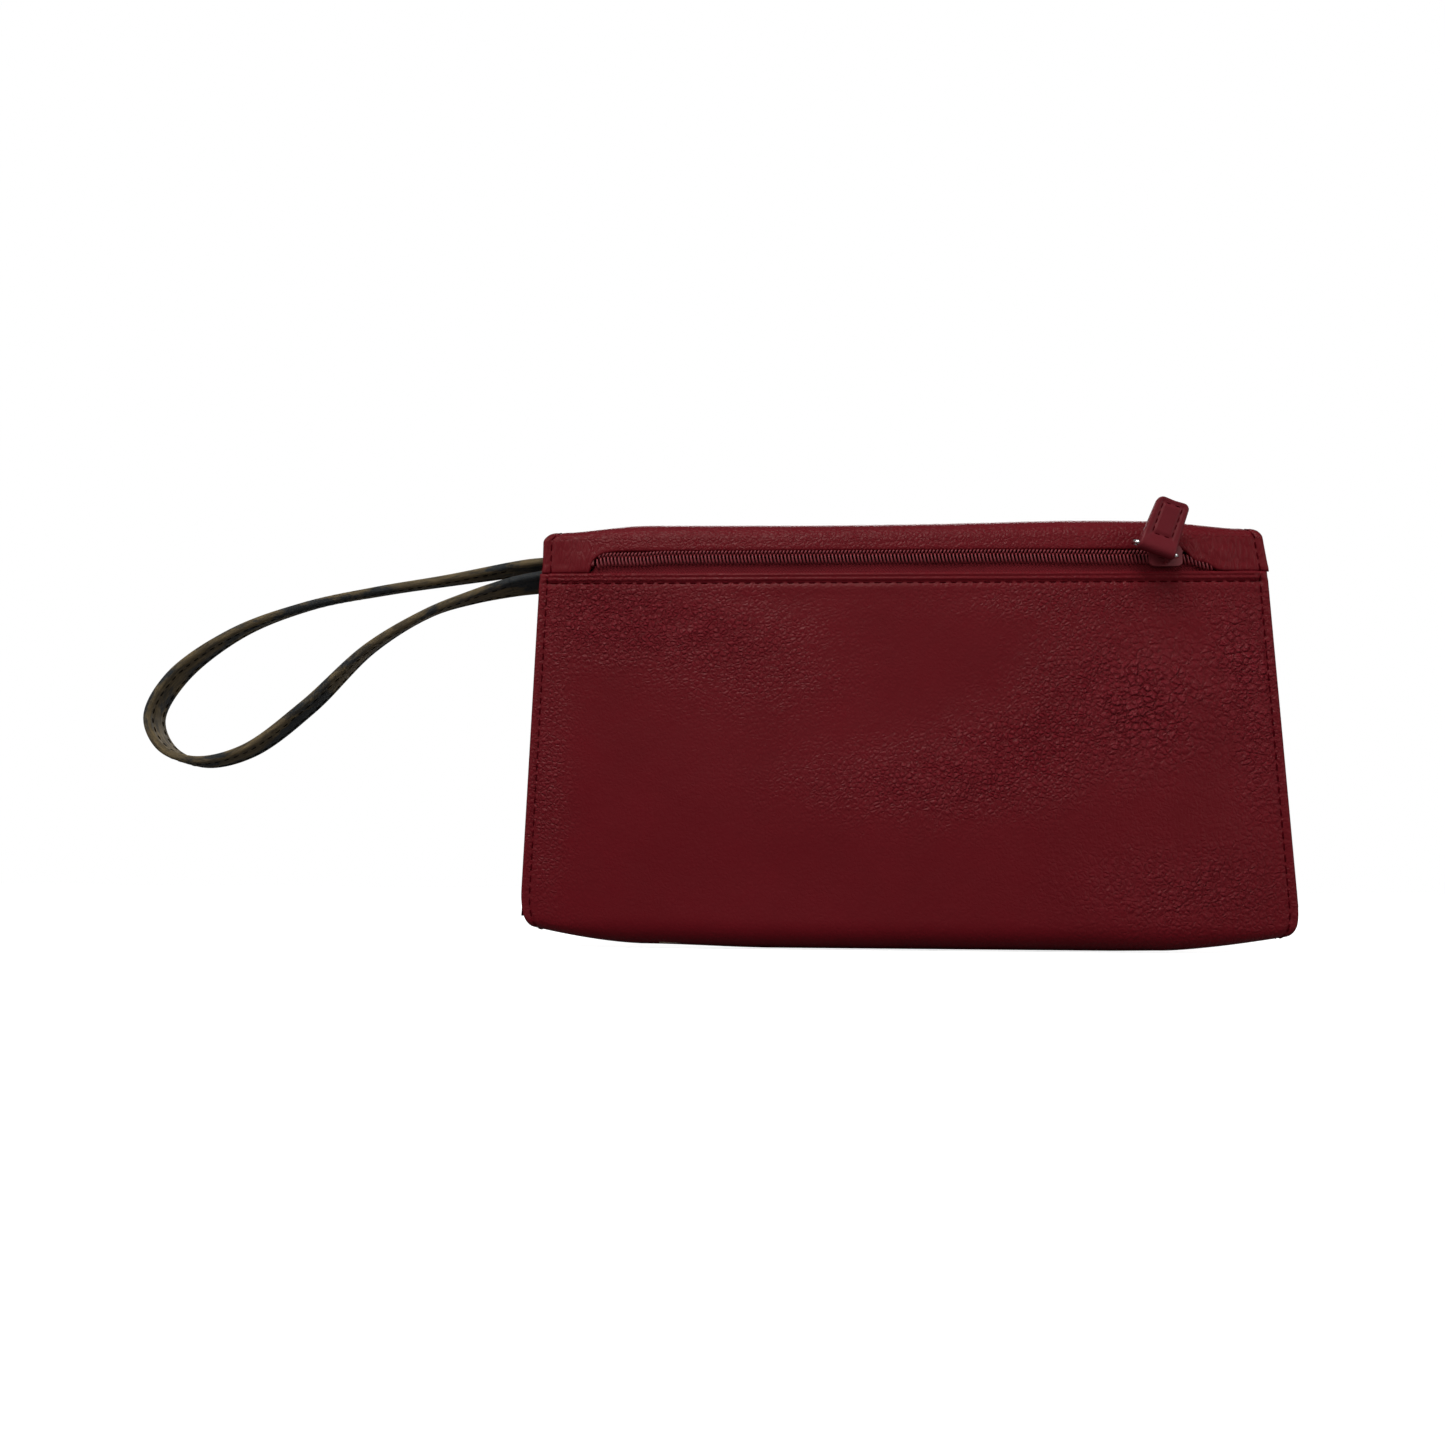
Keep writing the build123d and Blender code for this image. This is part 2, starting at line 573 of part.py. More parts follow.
def build():
    """Every node by name."""
    front_frame = snap_frame(front_face_y())
    flap_frame = snap_frame(flap_face_y() - 0.12)
    plate_hollow = PLATE_RADIUS + 1.8

    board_inset = LEATHER + LAYER_GAP
    lining_inset = board_inset + FRONT_BOARD + LAYER_GAP + 0.1
    front_low, front_high = BASE_TOP_Z + 0.4, MOUTH_Z
    front_board = front_sheet(board_inset, FRONT_BOARD, front_low + 6, front_high - 3, 14.0)
    socket_plate_depth = board_inset + FRONT_BOARD - PLATE_THICKNESS / 2 - 0.05
    front_recess = Pos(0, 0, -socket_plate_depth - 1) * Cylinder(plate_hollow, PLATE_THICKNESS + 2.1)

    board_depth = FLAP_LINING + FLAP_GAP
    flap_board = flap_layer(board_depth, FLAP_STIFFENER, FLAP_BOARD_INSET, FLAP_BOARD_INSET)
    stud_plate_depth = board_depth + FLAP_STIFFENER - PLATE_THICKNESS / 2 - 0.05
    flap_recess = Pos(0, 0, stud_plate_depth + 1) * Cylinder(plate_hollow, PLATE_THICKNESS + 2.2)
    outer_depth = board_depth + FLAP_STIFFENER + FLAP_GAP

    nodes = {
        "rear_panel": rear_panel(),
        "base_board": base_board(),
        "back_yoke": back_yoke(),
        "gusset_left": gusset(-1),
        "gusset_right": gusset(1),
        "divider_wall": divider_wall(),
        "card_pocket_upper": card_pocket(0),
        "card_pocket_middle": card_pocket(1),
        "card_pocket_lower": card_pocket(2),
        "zip_pocket_bag": zip_pocket_bag(),
        "zip_tape_upper": zip_tape(1),
        "zip_tape_lower": zip_tape(-1),
        "zip_coil_upper": zip_coil(1),
        "zip_coil_lower": zip_coil(-1),
        "zip_bottom_stop": zip_stop(-ZIP_HALF_LENGTH, ZIP_Z - 2.1, ZIP_Z + 2.1),
        "zip_top_stops": Compound(
            children=[
                zip_stop(ZIP_HALF_LENGTH, ZIP_Z + 0.35, ZIP_Z + 2.1),
                zip_stop(ZIP_HALF_LENGTH, ZIP_Z - 2.1, ZIP_Z - 0.35),
            ]
        ),
        "strap_tail": strap_tail(),
        "front_panel": pierced(front_panel(), front_frame, SOCKET_PRONG_X),
        "front_stiffener": one_solid(
            pierced(front_board, front_frame, SOCKET_PRONG_X) - front_frame * front_recess
        ),
        "front_lining": front_sheet(lining_inset, LINING, front_low + 4, front_high - 1, 13.5),
        "snap_socket": snap_socket(),
        "snap_magnet": snap_magnet(),
        "snap_socket_plate": snap_plate(front_frame, -socket_plate_depth, SOCKET_PRONG_X),
        "flap_outer": flap_layer(outer_depth, FLAP_LEATHER),
        "flap_stiffener": one_solid(
            pierced(flap_board, flap_frame, PRONG_X) - flap_frame * flap_recess
        ),
        "flap_lining": pierced(flap_lining(), flap_frame, PRONG_X),
        "snap_stud": snap_stud(),
        "snap_stud_plate": snap_plate(flap_frame, stud_plate_depth, PRONG_X),
        "zip_slider": zip_slider(),
        "pull_link": pull_link(),
        "pull_tab": pull_tab(),
        "strap_neck": strap_neck(),
        "strap_cover": strap_cover(),
        "strap_core": strap_core(),
    }
    return nodes


if __name__ == "__main__":
    os.makedirs("parts", exist_ok=True)
    for name, shape in build().items():
        export_step(shape, f"parts/{name}.step")
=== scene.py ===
"""Looks of a wristlet wallet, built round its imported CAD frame.

Lengths in the code are millimetres in the frame's own axes, and become metres where a mesh is made. The
zip side faces -Y and the flap side +Y. Each sheet of leather or cloth is a function of two parameters, q
along the sheet and s from -1 at one side edge to 1 at the other, so that stitches can be laid on it too.
"""

import json
from functools import reduce
from math import cos, pi, radians, sin, tan

import bpy
import numpy as np
from mathutils import Matrix, Vector


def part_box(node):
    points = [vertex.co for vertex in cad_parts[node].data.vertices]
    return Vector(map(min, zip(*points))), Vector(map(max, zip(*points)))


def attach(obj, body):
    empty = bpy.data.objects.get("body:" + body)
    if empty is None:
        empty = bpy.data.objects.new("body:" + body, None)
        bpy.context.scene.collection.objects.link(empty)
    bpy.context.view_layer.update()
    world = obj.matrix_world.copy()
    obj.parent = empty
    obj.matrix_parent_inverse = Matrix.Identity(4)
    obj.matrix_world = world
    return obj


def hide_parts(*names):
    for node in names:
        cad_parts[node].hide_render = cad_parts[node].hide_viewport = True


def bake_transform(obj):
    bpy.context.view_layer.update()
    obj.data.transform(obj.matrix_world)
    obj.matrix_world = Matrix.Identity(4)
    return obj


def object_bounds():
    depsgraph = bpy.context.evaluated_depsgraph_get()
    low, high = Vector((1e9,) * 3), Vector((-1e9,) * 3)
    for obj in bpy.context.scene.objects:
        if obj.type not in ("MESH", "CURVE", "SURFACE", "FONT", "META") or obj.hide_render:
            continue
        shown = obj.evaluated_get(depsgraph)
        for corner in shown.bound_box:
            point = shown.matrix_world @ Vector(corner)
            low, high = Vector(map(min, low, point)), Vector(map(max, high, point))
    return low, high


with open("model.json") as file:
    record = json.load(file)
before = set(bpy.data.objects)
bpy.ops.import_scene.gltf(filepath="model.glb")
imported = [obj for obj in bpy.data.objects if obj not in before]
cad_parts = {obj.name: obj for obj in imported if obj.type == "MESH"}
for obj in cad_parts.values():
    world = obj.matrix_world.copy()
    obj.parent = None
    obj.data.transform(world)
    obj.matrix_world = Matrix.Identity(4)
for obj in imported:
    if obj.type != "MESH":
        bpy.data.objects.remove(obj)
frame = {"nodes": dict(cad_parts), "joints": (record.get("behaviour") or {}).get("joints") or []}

cad_low, cad_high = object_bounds()
MM = 0.001
JOINTS = {joint["name"]: joint for joint in frame["joints"]}


def box_mm(node):
    """Lowest and highest corner of a CAD node in millimetres."""
    low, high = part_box(node)
    return np.array(low) / MM, np.array(high) / MM


def joint_mm(name):
    """Centre of a hinge in millimetres."""
    return np.array(JOINTS[name]["pos_m"]) / MM


# Sizes from the frame
FOLD_Z = joint_mm("flap_open")[2]
FOLD_R = -box_mm("back_yoke")[0][1]
HALF_TOP = box_mm("back_yoke")[1][0]
HALF_BOTTOM = box_mm("rear_panel")[1][0]
RIM_Z = 8.0  # height of the base's rim
REAR_TOP = box_mm("rear_panel")[1][2] - 0.3
MOUTH_Z = box_mm("front_panel")[1][2]
FLAP_END_Z = box_mm("flap_outer")[0][2]
FLAP_HALF_END = box_mm("flap_outer")[1][0]
FLAP_MID_Y = box_mm("flap_outer")[1][1]
ZIP_Z = (box_mm("zip_coil_upper")[0][2] + box_mm("zip_coil_lower")[1][2]) / 2
SLIDER_X = joint_mm("link_swing")[0]
ZIP_HALF = 1 - box_mm("zip_bottom_stop")[1][0]
SNAP_Z = (box_mm("snap_stud")[0][2] + box_mm("snap_stud")[1][2]) / 2

# Sizes of the sheet goods
SIDE_Y = 4.2  # both walls where they are sewn at the sides
REAR_CROWN_Y = 9.0
FRONT_CROWN_Y = 10.0
FRONT_TOP_Y = 5.8
FLAP_ROOT_Y = 9.15
FLAP_SIDE_Y = 7.1
FLAP_CORNER = 10.0
LEATHER = 1.2
STITCH_INSET = 2.7  # side seams lie this far inside the edge
STITCH_PITCH = 3.4
THREAD = 0.21
FRONT_WALL = (RIM_Z, SIDE_Y, FRONT_CROWN_Y), (MOUTH_Z, FRONT_TOP_Y, FRONT_TOP_Y)
ROOT_R = 4.9  # the lining's radius where it leaves the divider
LINING_BACK = 2.5  # the flap's lining lies this far behind its leather
WELT_STITCH_Z = 111.7
WINDOW_Z = 121.9  # lower edge of the yoke above the chain


# Small numeric helpers


def smooth(t):
    """Smooth step from 0 at t = 0 to 1 at t = 1."""
    t = np.clip(t, 0.0, 1.0)
    return t * t * (3 - 2 * t)


def between(z, low, high):
    """Value at height z on the line through two (z, value) pairs."""
    return low[1] + (high[1] - low[1]) * (z - low[0]) / (high[0] - low[0])


def crowned(z, low, high, crown):
    """Depth of a swelling wall at height z; low and high are (z, depth at the sides, depth amid them)."""
    side = between(z, low[:2], high[:2])
    return side + (between(z, low[::2], high[::2]) - side) * crown


def spread(q, s):
    """The two parameters of a surface as arrays of one shape."""
    return np.broadcast_arrays(np.asarray(q, float), np.asarray(s, float))


def hill(a, b=0.0):
    """Round bump of height 1 at a = b = 0 that has mostly gone by distance 2."""
    return np.exp(-0.5 * (a * a + b * b))


def quarter_round(distance, radius):
    """How far a round corner of that radius has fallen back at a distance from its edge."""
    share = 1 - np.clip(distance / radius, 0.0, 1.0)
    return radius * (1 - np.sqrt(np.clip(1 - share * share, 0.0, 1.0)))


def ladder(*runs):
    """Sorted values that cover each (start, end, step) run once."""
    parts = [np.linspace(a, b, max(2, int(round(abs(b - a) / step)) + 1)) for a, b, step in runs]
    values = np.unique(np.round(np.concatenate(parts), 6))
    return values[np.insert(np.diff(values) > 1e-3, 0, True)]


def across(half, step):
    """Values of s with steps of about that many millimetres, closer together towards both edges."""
    edge = np.array([0, 0.12, 0.35, 0.75, 1.3, 1.9, 2.3, 2.7, 3.1, 3.6, 4.3, 5.2])
    middle = np.linspace(-half + 6.2, half - 6.2, int(2 * half / step))
    return np.concatenate([edge - half, middle, (half - edge)[::-1]]) / half


def distance_along(points):
    """Distance from the first point of a path to each of its points."""
    return np.concatenate([[0], np.cumsum(np.linalg.norm(np.diff(points, axis=0), axis=1))])


def flat_uv(points, q, shift=0.0):
    """UV of a sheet in millimetres: across by x, along by q."""
    x = points[..., 0]
    return np.stack([x + shift, np.broadcast_to(q[:, None], x.shape)], axis=-1)


def grid_normals(points):
    """Unit normals of a grid of points, rows crossed with columns."""
    down = np.gradient(points, axis=0)
    side = np.gradient(points, axis=1)
    normal = np.cross(down, side)
    return normal / np.maximum(np.linalg.norm(normal, axis=2, keepdims=True), 1e-9)


def rim_distance(points):
    """Distance of each grid point from the nearest rim, along rows and columns."""

    def from_ends(axis):
        lengths = np.linalg.norm(np.diff(points, axis=axis), axis=2)
        pad = [(0, 0), (0, 0)]
        pad[axis] = (1, 0)
        run = np.pad(np.cumsum(lengths, axis=axis), pad)
        total = np.take(run, [-1], axis=axis)
        return np.minimum(run, total - run)

    return np.minimum(from_ends(0), from_ends(1))


# Meshes


def make_piece(name, points, faces, material, uv=None):
    """Mesh object from points in millimetres, with smooth shading and an optional UV map in millimetres."""
    mesh = bpy.data.meshes.new(name)
    mesh.from_pydata((np.asarray(points) * MM).tolist(), [], [list(map(int, face)) for face in faces])
    mesh.validate()
    if uv is not None:
        layer = mesh.uv_layers.new(name="UVMap")
        corners = np.zeros(len(mesh.loops), np.int32)
        mesh.loops.foreach_get("vertex_index", corners)
        layer.data.foreach_set("uv", np.asarray(uv, np.float32)[corners].ravel())
    mesh.polygons.foreach_set("use_smooth", [True] * len(mesh.polygons))
    mesh.update()
    piece = bpy.data.objects.new(name, mesh)
    bpy.context.scene.collection.objects.link(piece)
    mesh.materials.append(material)
    return piece


def quads(index):
    """Faces of a grid of point numbers."""
    a, b = index[:-1, :-1], index[1:, :-1]
    c, d = index[1:, 1:], index[:-1, 1:]
    return np.stack([a, b, c, d], axis=-1).reshape(-1, 4)


def sheet(name, outer, thick, material, uv, normal=None):
    """Closed sheet with round rims, from a grid on its outer face, its thickness and its normals there."""
    rows, cols = outer.shape[:2]
    thick = np.broadcast_to(np.asarray(thick, float), (rows, cols))
    normal = grid_normals(outer) if normal is None else normal
    drop = quarter_round(rim_distance(outer), thick / 2)
    top = outer - normal * drop[..., None]
    low = outer - normal * (thick - drop)[..., None]
    top_index = np.arange(rows * cols).reshape(rows, cols)
    low_index = top_index.copy()
    low_index[1:-1, 1:-1] = rows * cols + np.arange((rows - 2) * (cols - 2)).reshape(rows - 2, cols - 2)
    points = np.concatenate([top.reshape(-1, 3), low[1:-1, 1:-1].reshape(-1, 3)])
    both_uv = np.concatenate([uv.reshape(-1, 2), uv[1:-1, 1:-1].reshape(-1, 2)])
    faces = np.concatenate([quads(top_index), quads(low_index)[:, ::-1]])
    return make_piece(name, points, faces, material, both_uv)


def set_grain(piece, fine, coarse):
    """Stores how strongly the leather's fine and coarse creases show at each point of a sheet, in their
    bump, their painted shade and the painted highlights on their pebbles.
    """
    for name, values in (("fine_grain_and_painted_light", fine), ("coarse_grain_and_painted_light", coarse)):
        attribute = piece.data.attributes.new(name, "FLOAT", "POINT")
        attribute.data.foreach_set("value", sheet_values(values).astype(np.float32))


def sheet_values(values):
    """Per-point values of a sheet, in the order of its points, from a grid of values."""
    return np.concatenate([values.ravel(), values[1:-1, 1:-1].ravel()])


def blend_by(piece, a, b, weights):
    """Bakes a piece's transform into its mesh; bodies a and b and the weights are not used."""
    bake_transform(piece)


def tube_rings(path, radii, sides, closed):
    """Rings of points round a path, turned as little as possible from one to the next."""
    path = np.asarray(path, float)
    if closed:
        tangents = np.roll(path, -1, axis=0) - np.roll(path, 1, axis=0)
    else:
        tangents = np.gradient(path, axis=0)
    tangents /= np.linalg.norm(tangents, axis=1, keepdims=True)
    helper = np.array([0.0, 0.0, 1.0]) if abs(tangents[0][2]) < 0.9 else np.array([1.0, 0.0, 0.0])
    side = np.cross(tangents[0], helper)
    angles = np.linspace(0, 2 * pi, sides, endpoint=False)
    rings = []
    for point, tangent, radius in zip(path, tangents, radii):
        side = side - tangent * (side @ tangent)
        side /= np.linalg.norm(side)
        other = np.cross(tangent, side)
        rings.append(point + radius * (np.cos(angles)[:, None] * side + np.sin(angles)[:, None] * other))
    return np.array(rings)


def tube_faces(count, sides, closed):
    """Faces that join count rings, with caps unless the tube is closed."""
    faces = []
    for i in range(count if closed else count - 1):
        for k in range(sides):
            j, m = (i + 1) % count, (k + 1) % sides
            faces.append([i * sides + k, i * sides + m, j * sides + m, j * sides + k])
    if not closed:
        faces.append(list(range(sides))[::-1])
        faces.append([(count - 1) * sides + k for k in range(sides)])
    return faces


def copies(faces, places):
    """Points and faces of one mesh from copies of a small one; places holds the points of each copy."""
    starts = range(0, len(places) * len(places[0]), len(places[0]))
    return np.concatenate(places), [[v + start for v in face] for start in starts for face in faces]


STITCH_RINGS, STITCH_SIDES = 7, 6


def stitch_line(surface, q, s, pitch=STITCH_PITCH, length=0.72, radius=THREAD):
    """Points of a row of stitches along dense parameters (q, s) on a surface, and each point's weight."""
    q, s = spread(q, s)
    points, _ = surface(q, s)
    run = distance_along(points)
    count = max(1, int(run[-1] / pitch))
    at = (np.arange(count) + 0.5) * run[-1] / count
    step = 0.15
    ahead = [np.interp(at + d, run, values) for d in (-step, step) for values in (q, s)]
    here_q, here_s = np.interp(at, run, q), np.interp(at, run, s)
    centre, weight = surface(here_q, here_s)
    tangent = surface(ahead[2], ahead[3])[0] - surface(ahead[0], ahead[1])[0]
    along_q = surface(here_q + 0.3, here_s)[0] - surface(here_q - 0.3, here_s)[0]
    along_s = surface(here_q, here_s + 0.003)[0] - surface(here_q, here_s - 0.003)[0]
    normal = np.cross(along_q, along_s)
    tangent /= np.linalg.norm(tangent, axis=1, keepdims=True)
    normal /= np.linalg.norm(normal, axis=1, keepdims=True)
    side = np.cross(normal, tangent)
    t = np.linspace(-1, 1, STITCH_RINGS)
    half = pitch * length / 2
    local_path = np.stack([t * half, 0 * t, radius * (0.55 - 1.5 * t**4)], axis=1)
    rings = tube_rings(local_path, radius * (1 - 0.3 * t**4), STITCH_SIDES, False).reshape(-1, 3)
    places = [
        centre[k] + rings[:, :1] * tangent[k] + rings[:, 1:2] * side[k] + rings[:, 2:] * normal[k]
        for k in range(count)
    ]
    weights = np.repeat(np.broadcast_to(weight, (count,)), len(rings))
    return places, weights


def stitches(name, rows, material, body=None, blend=None):
    """One mesh from several stitch rows, riding on a body or, given two bodies, left where it is made."""
    places = [place for row in rows for place in row[0]]
    weights = np.concatenate([row[1] for row in rows])
    points, faces = copies(tube_faces(STITCH_RINGS, STITCH_SIDES, False), places)
    piece = make_piece(name, points, faces, material)
    if body:
        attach(piece, body)
    else:
        blend_by(piece, *blend, weights)
    return piece


# Materials


class Paint:
    """A node material, built from its coordinates up to the surface shader."""

    def __init__(self, name, use_uv):
        self.material = bpy.data.materials.new(name)
        self.material.use_nodes = True
        self.tree = self.material.node_tree
        self.shader = self.tree.nodes["Principled BSDF"]
        source = self.add("ShaderNodeTexCoord")
        if use_uv:
            self.place = source.outputs["UV"]
        else:
            self.place = self.vector("SCALE", {0: source.outputs["Object"], 3: 1 / MM})

    def add(self, kind, inputs=None, **settings):
        """A node with its settings, whose inputs are values or other nodes' sockets."""
        node = self.tree.nodes.new(kind)
        for key, value in settings.items():
            setattr(node, key, value)
        for key, value in (inputs or {}).items():
            self.feed(node.inputs[key], value)
        return node

    def feed(self, socket, value):
        """Sets an input to a value or joins it to a socket."""
        if isinstance(value, bpy.types.NodeSocket):
            self.tree.links.new(value, socket)
        else:
            socket.default_value = value

    def vector(self, operation, inputs):
        """One arithmetic node on vectors."""
        return self.add("ShaderNodeVectorMath", inputs, operation=operation).outputs[0]

    def scaled(self, x, y, z=1.0):
        """The coordinates multiplied along each axis."""
        return self.vector("MULTIPLY", {0: self.place, 1: (x, y, z)})

    def noise(self, scale, detail=3.0, roughness=0.55, distortion=0.0, place=None):
        """Cloudy values about 0.5, with that many clouds to the millimetre."""
        inputs = {
            "Vector": place or self.place,
            "Scale": scale,
            "Detail": detail,
            "Roughness": roughness,
            "Distortion": distortion,
        }
        return self.add("ShaderNodeTexNoise", inputs).outputs["Fac"]

    def math(self, operation, a, b=0.0):
        """One arithmetic node."""
        return self.add("ShaderNodeMath", {0: a, 1: b}, operation=operation).outputs[0]

    def times(self, *values):
        """Product of values."""
        return reduce(lambda a, b: self.math("MULTIPLY", a, b), values)

    def plus(self, *values):
        """Sum of values."""
        return reduce(lambda a, b: self.math("ADD", a, b), values)

    def remap(self, value, low, high, to_low=0.0, to_high=1.0):
        """value carried from one range to another and held inside it."""
        inputs = {"Value": value, "From Min": low, "From Max": high, "To Min": to_low, "To Max": to_high}
        return self.add("ShaderNodeMapRange", inputs).outputs["Result"]

    def mix(self, factor, a, b):
        """Colour between a and b."""
        node = self.add("ShaderNodeMix", data_type="RGBA")
        self.feed(node.inputs[0], factor)
        self.feed(node.inputs[6], a)
        self.feed(node.inputs[7], b)
        return node.outputs[2]

    def bump(self, height, depth):
        """Bumped normal from heights of 0 to 1 that stand for a depth in millimetres."""
        return self.add("ShaderNodeBump", {"Height": height, "Distance": depth * MM}).outputs["Normal"]

    def finish(self, **inputs):
        """Feeds the surface shader and returns the material."""
        for key, value in inputs.items():
            self.feed(self.shader.inputs[key.replace("_", " ")], value)
        return self.material


def rgb(red, green, blue):
    return (red, green, blue, 1.0)


GRAIN_LAYERS = ((0.42, 0.26), (0.72, 0.34), (1.6, 0.4))  # cells to the millimetre, width of their creases


def leather(name, base, dark, light, grain=1.0):
    """Coated leather: fine pebbles and wider creases where the grain attributes say, with painted shade in
    the creases, painted highlights on the pebble tops and paler edges that are partly worn and partly a
    painted highlight.
    """
    paint = Paint(name, True)
    warp = paint.add("ShaderNodeTexNoise", {"Vector": paint.place, "Scale": 0.45, "Detail": 3.0})
    warp = paint.vector("SCALE", {0: warp.outputs["Color"], 3: 1.6})
    bent = paint.vector("ADD", {0: paint.place, 1: warp})
    layers = []
    for scale, crease in GRAIN_LAYERS:
        inputs = {"Vector": bent, "Scale": scale}
        cells = paint.add("ShaderNodeTexVoronoi", inputs, feature="DISTANCE_TO_EDGE")
        layers.append(paint.remap(cells.outputs["Distance"], 0.0, crease))
    large, small, pebbles = layers
    fine = paint.add("ShaderNodeAttribute", attribute_name="fine_grain_and_painted_light").outputs["Fac"]
    coarse = paint.add("ShaderNodeAttribute", attribute_name="coarse_grain_and_painted_light").outputs["Fac"]
    broken = paint.remap(paint.noise(0.13, 4.0, 0.6), 0.28, 0.52)
    height = paint.plus(
        paint.times(large, paint.times(coarse, broken)),
        paint.times(small, paint.times(fine, paint.remap(broken, 0.0, 1.0, 0.3, 0.7))),
        paint.times(pebbles, 0.03),
        paint.times(paint.noise(0.30, 3.0), 0.12),
        paint.times(paint.noise(0.08, 2.0), 0.4),
    )
    colour = paint.mix(paint.remap(paint.noise(0.03, 4.0, 0.6), 0.3, 0.7, 0.0, 0.3), base, dark)
    creases = paint.plus(
        paint.times(paint.math("SUBTRACT", 1.0, large), coarse),
        paint.times(paint.math("SUBTRACT", 1.0, small), fine),
    )
    # Painted shade: darkens the creases towards the dark tone.
    colour = paint.mix(paint.times(creases, 0.30), colour, dark)
    # Painted highlight: lightens the pebble tops towards the light tone, like a sheen.
    painted_pebble_highlight = paint.plus(paint.times(coarse, large, 0.6), paint.times(fine, small, 0.42))
    colour = paint.mix(painted_pebble_highlight, colour, light)
    # Paler convex edges: partly wear, partly a painted highlight.
    pointed = paint.add("ShaderNodeNewGeometry").outputs["Pointiness"]
    colour = paint.mix(paint.remap(pointed, 0.515, 0.60, 0.0, 0.55), colour, light)
    return paint.finish(
        Base_Color=colour,
        Roughness=paint.remap(paint.noise(0.12, 4.0), 0.3, 0.7, 0.33, 0.42),
        Specular_IOR_Level=0.12,
        Specular_Tint=rgb(1.0, 0.80, 0.72),
        Normal=paint.bump(height, 0.6 * grain),
    )


def cloth(name, base, dark, pitch, use_uv=True, depth=0.05, sheen=0.15, shade_from=None):
    """Plain weave of uneven threads at the given pitch; it lies in shadow above the height shade_from."""
    paint = Paint(name, use_uv)
    turn = 2 * pi / pitch
    parts = paint.add("ShaderNodeSeparateXYZ", {0: paint.place})
    axes = ("X", "Y") if use_uv else ("X", "Z")
    weave = paint.times(*(paint.math("SINE", paint.times(parts.outputs[axis], turn)) for axis in axes))
    height = paint.plus(paint.remap(weave, -1.0, 1.0), paint.times(paint.noise(1.5, 3.0), 0.6))
    clouds = paint.remap(paint.noise(0.1, 4.0), 0.3, 0.7)
    colour = paint.mix(paint.remap(height, 0.2, 1.2), dark, base)
    colour = paint.mix(paint.times(clouds, 0.4), colour, dark)
    if shade_from:
        shade = paint.remap(parts.outputs["Y"], shade_from, shade_from + 0.8, 0.0, 0.9)
        colour = paint.mix(shade, colour, rgb(0.012, 0.0006, 0.001))
    return paint.finish(
        Base_Color=colour,
        Roughness=0.85,
        Specular_IOR_Level=0.2 * (sheen > 0),
        Sheen_Weight=sheen,
        Normal=paint.bump(height, depth),
    )


OLIVE = rgb(0.040, 0.031, 0.020), rgb(0.160, 0.115, 0.055)  # each colour's darkest and lightest tone
COAL = rgb(0.007, 0.009, 0.011), rgb(0.030, 0.035, 0.040)
SPECKLE = rgb(0.075, 0.062, 0.040)


def print_fabric(name):
    """Strap cover: olive-brown twill with ragged charcoal bars that run along the strap."""
    paint = Paint(name, True)
    bars = paint.remap(paint.noise(1.0, 4.0, 0.62, 0.4, paint.scaled(0.10, 0.040)), 0.50, 0.56)
    streaks = paint.noise(1.0, 4.0, 0.7, 0.0, paint.scaled(0.9, 0.16))
    olive = paint.mix(paint.remap(streaks, 0.35, 0.65), *OLIVE)
    coal = paint.mix(paint.remap(streaks, 0.3, 0.7), *COAL)
    colour = paint.mix(bars, olive, coal)
    parts = paint.add("ShaderNodeSeparateXYZ", {0: paint.place})
    slant = paint.plus(parts.outputs["X"], parts.outputs["Y"])
    twill = paint.math("SINE", paint.times(slant, 2 * pi / 0.55))
    cross = paint.math("SINE", paint.times(parts.outputs["X"], 2 * pi / 0.45))
    height = paint.plus(paint.remap(twill, -1.0, 1.0), paint.times(cross, 0.25), paint.noise(2.0, 3.0))
    colour = paint.mix(paint.remap(paint.noise(1.6, 2.0), 0.45, 0.75, 0.0, 0.45), colour, SPECKLE)
    normal = paint.bump(height, 0.07)
    return paint.finish(Base_Color=colour, Roughness=0.78, Specular_IOR_Level=0.25, Normal=normal)


def hard(name, base, worn, rough, metallic=0.0, brushed=0.0):
    """Metal or enamel with fine scratches, uneven gloss and worn edges."""
    paint = Paint(name, False)
    lines = paint.noise(1.0, 3.0, 0.6, 0.0, paint.scaled(0.6, 0.6, 9.0))
    spots = paint.noise(0.9, 5.0, 0.7)
    pointed = paint.add("ShaderNodeNewGeometry").outputs["Pointiness"]
    colour = paint.mix(paint.remap(pointed, 0.52, 0.6, 0.0, 0.6), base, worn)
    colour = paint.mix(paint.remap(spots, 0.55, 0.8, 0.0, 0.35), colour, worn)
    height = paint.plus(paint.times(lines, brushed), paint.times(spots, 0.3))
    return paint.finish(
        Base_Color=colour,
        Metallic=metallic,
        Roughness=paint.remap(spots, 0.3, 0.7, rough * 0.8, rough * 1.4),
        Normal=paint.bump(height, 0.02),
    )


# Base, dark and light tones. The dark tone gives random tone and painted crease shade; the light tone gives
# painted highlights on the pebbles and on edges that are partly worn.
RED_TONES = rgb(0.120, 0.0050, 0.0095), rgb(0.070, 0.0022, 0.0045), rgb(0.17, 0.014, 0.022)
RED = leather("red_leather", *RED_TONES)
# The tab's tones serve the same painted crease shade and painted highlights.
TAB_TONES = rgb(0.125, 0.012, 0.018), rgb(0.085, 0.006, 0.010), rgb(0.18, 0.025, 0.034)
RED_TAB = leather("tab_leather", *TAB_TONES, 0.6)
